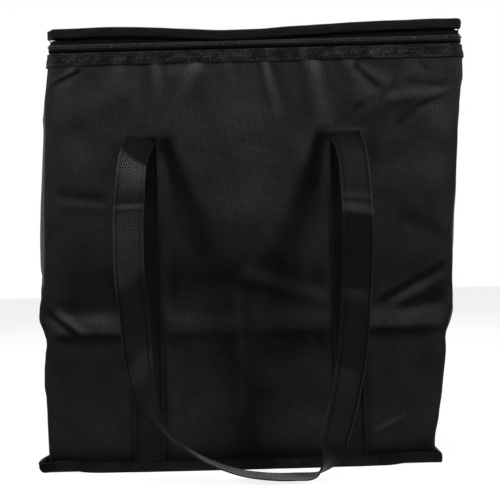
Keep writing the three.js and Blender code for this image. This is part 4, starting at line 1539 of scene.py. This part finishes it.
# Painted light and shade along each arm of the hanging loop: heights, and how light the cloth is there,
# lighter in bands of painted highlight and darker in bands of painted shade.
LEFT_ARM_PAINTED_LIGHT = (
    (0, -0.2), (50, -0.35), (88, -0.4), (94, 0.3), (108, 0.3), (113, -0.5), (170, -0.5),
    (176, -0.45), (180, 0.3), (222, 0.7), (238, 0.5), (242, -0.3), (246, 2.4), (250, -0.4),
    (258, 0.1), (266, 1), (282, 2.8), (289, 2.4), (292, -0.4), (400, -0.5),
)
RIGHT_ARM_PAINTED_LIGHT = (
    (0, -0.4), (19, -0.4), (22, -0.75), (31, -0.75), (35, 0), (92, 0.15), (98, -0.55),
    (155, -0.55), (159, 0.1), (164, 0.1), (168, -0.65), (233, -0.65), (238, 1.8), (247, -0.2),
    (251, 1.2), (257, 0), (288, 0.2), (298, -0.35), (400, -0.4),
)


def arm_slant(left_arm, z):
    """How steeply the edges of the painted bands of light and shade run across the strap."""
    if left_arm:
        return 0.45 * eased(z, 255, 270) - 0.7 * (1 - eased(z, 205, 225))
    return 0.1


def strap_painted_light(side, across, rise, point, normal):
    """Painted light and shade on a strap: painted bands on its hanging arms, a painted shadow of the loop on
    its sewn parts, painted shade in its seam grooves and a painted highlight on its low turn.
    """
    left_arm = point.x < STRAP_MIDDLE
    tones = LEFT_ARM_PAINTED_LIGHT if left_arm else RIGHT_ARM_PAINTED_LIGHT
    slant = point.z + arm_slant(left_arm, point.z) * across * (1 if left_arm else -1)
    hanging = eased(abs(point.y), FOLD_Y, FOLD_Y + 5)
    # Painted shadow of the hanging loop on the sewn parts, deeper higher up.
    shaded = 0.1 + 0.5 * eased(point.z, 80, 170)
    tone = hanging * read_off(tones, slant) - shaded * (1 - hanging)
    # Painted shade in the seam grooves, with a thin painted highlight beside each.
    groove_shade = -1.4 * bell(abs(across) - SEAM_ACROSS, 0.8) + 0.15 * bell(abs(across) - 12.6, 0.7)
    past_middle = (point.x - STRAP_MIDDLE) * (1 if side == "front" else -1)
    low_down = (1 - eased(point.z, 90, 130)) * (1 - eased(past_middle, 57, 70))
    # A painted highlight on the low turn, where its face looks up.
    facing_up = eased(normal.z * math.copysign(1, rise), 0.7, 0.95)
    return tone + 9 * facing_up * low_down + groove_shade


def strap_mesh(side, frames):
    """The strap as a closed tube of its section."""
    ring = list(STRAP_SECTION) + [(w, -h) for w, h in reversed(STRAP_SECTION)]
    ring.append(ring[0])

    def place(corner, frame_at):
        point, width, normal = frame_at
        across, rise = corner
        ripple = 0.25 * noise.noise(point / 14) * (1 - (across / 14) ** 2)
        return point + width * across + normal * (rise + ripple)

    def rub(corner, frame_at):
        point, _, normal = frame_at
        return strap_painted_light(side, *corner, point, normal)

    bm = laid_grid(ring, frames, place, rub)
    bmesh.ops.holes_fill(bm, edges=bm.edges, sides=0)
    return bm


# %% Both straps
for side, sign in (("front", -1.0), ("back", 1.0)):
    frames = strap_frames(side)
    strap = make_piece(
        f"{side}_carrying_strap", strap_mesh(side, frames), strap_cloth, None,
        f"{side}_left_sewn_strap", f"{side}_right_sewn_strap", f"{side}_handle_loop",
    )
    strap_length = lengths_along([point for point, _, _ in frames])[-1]
    print(strap.name, "is", round(strap_length), "mm long")
    thread_rows = bmesh.new()
    for across in (-SEAM_ACROSS, SEAM_ACROSS):
        for face in (-1, 1):
            lift = SEAM_LIFT * face
            line = [point + width * across + out * lift for point, width, out in frames]
            lay_stitches(thread_rows, line, [normal * face for _, _, normal in frames])
    strap_thread = make_piece(f"{side}_strap_thread", thread_rows, thread, None)
    for piece in (strap, strap_thread):
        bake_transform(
            piece, "bag_body", f"{side}_handle",
            start=(0.0, sign * (FOLD_Y - FOLD_RADIUS) * MM, FOLD_Z * MM),
            end=(0.0, sign * (FOLD_Y + FOLD_RADIUS) * MM, (FOLD_Z + 0.52) * MM),
        )

# %% [markdown]
# ## The size that each sheet was cut to
# Each sheet is listed with the pad behind it, and the size that it was cut to is printed. The UV map was
# laid out in metres along the cloth, so it gives that size.


# %% Soft pieces
def cut_size(piece):
    """Width and length of the flat cloth that a piece was made from."""
    corners = [corner.uv for corner in piece.data.uv_layers["run"].data]
    return max(c.x for c in corners), max(c.y for c in corners)


for piece, under in (
    ("front_wall_cloth", wall_foam), ("back_wall_cloth", wall_foam),
    ("left_wall_cloth", wall_foam), ("right_wall_cloth", wall_foam),
    ("wall_lining", wall_foam), ("base_panel", base_foam), ("base_lining", base_foam),
    ("lid_foil", lid_pad), ("lower_zip_band", wall_lining),
):
    piece = bpy.data.objects[piece]
    size = cut_size(piece)
    print(piece.name, "cut to", [round(v, 3) for v in size], "m")
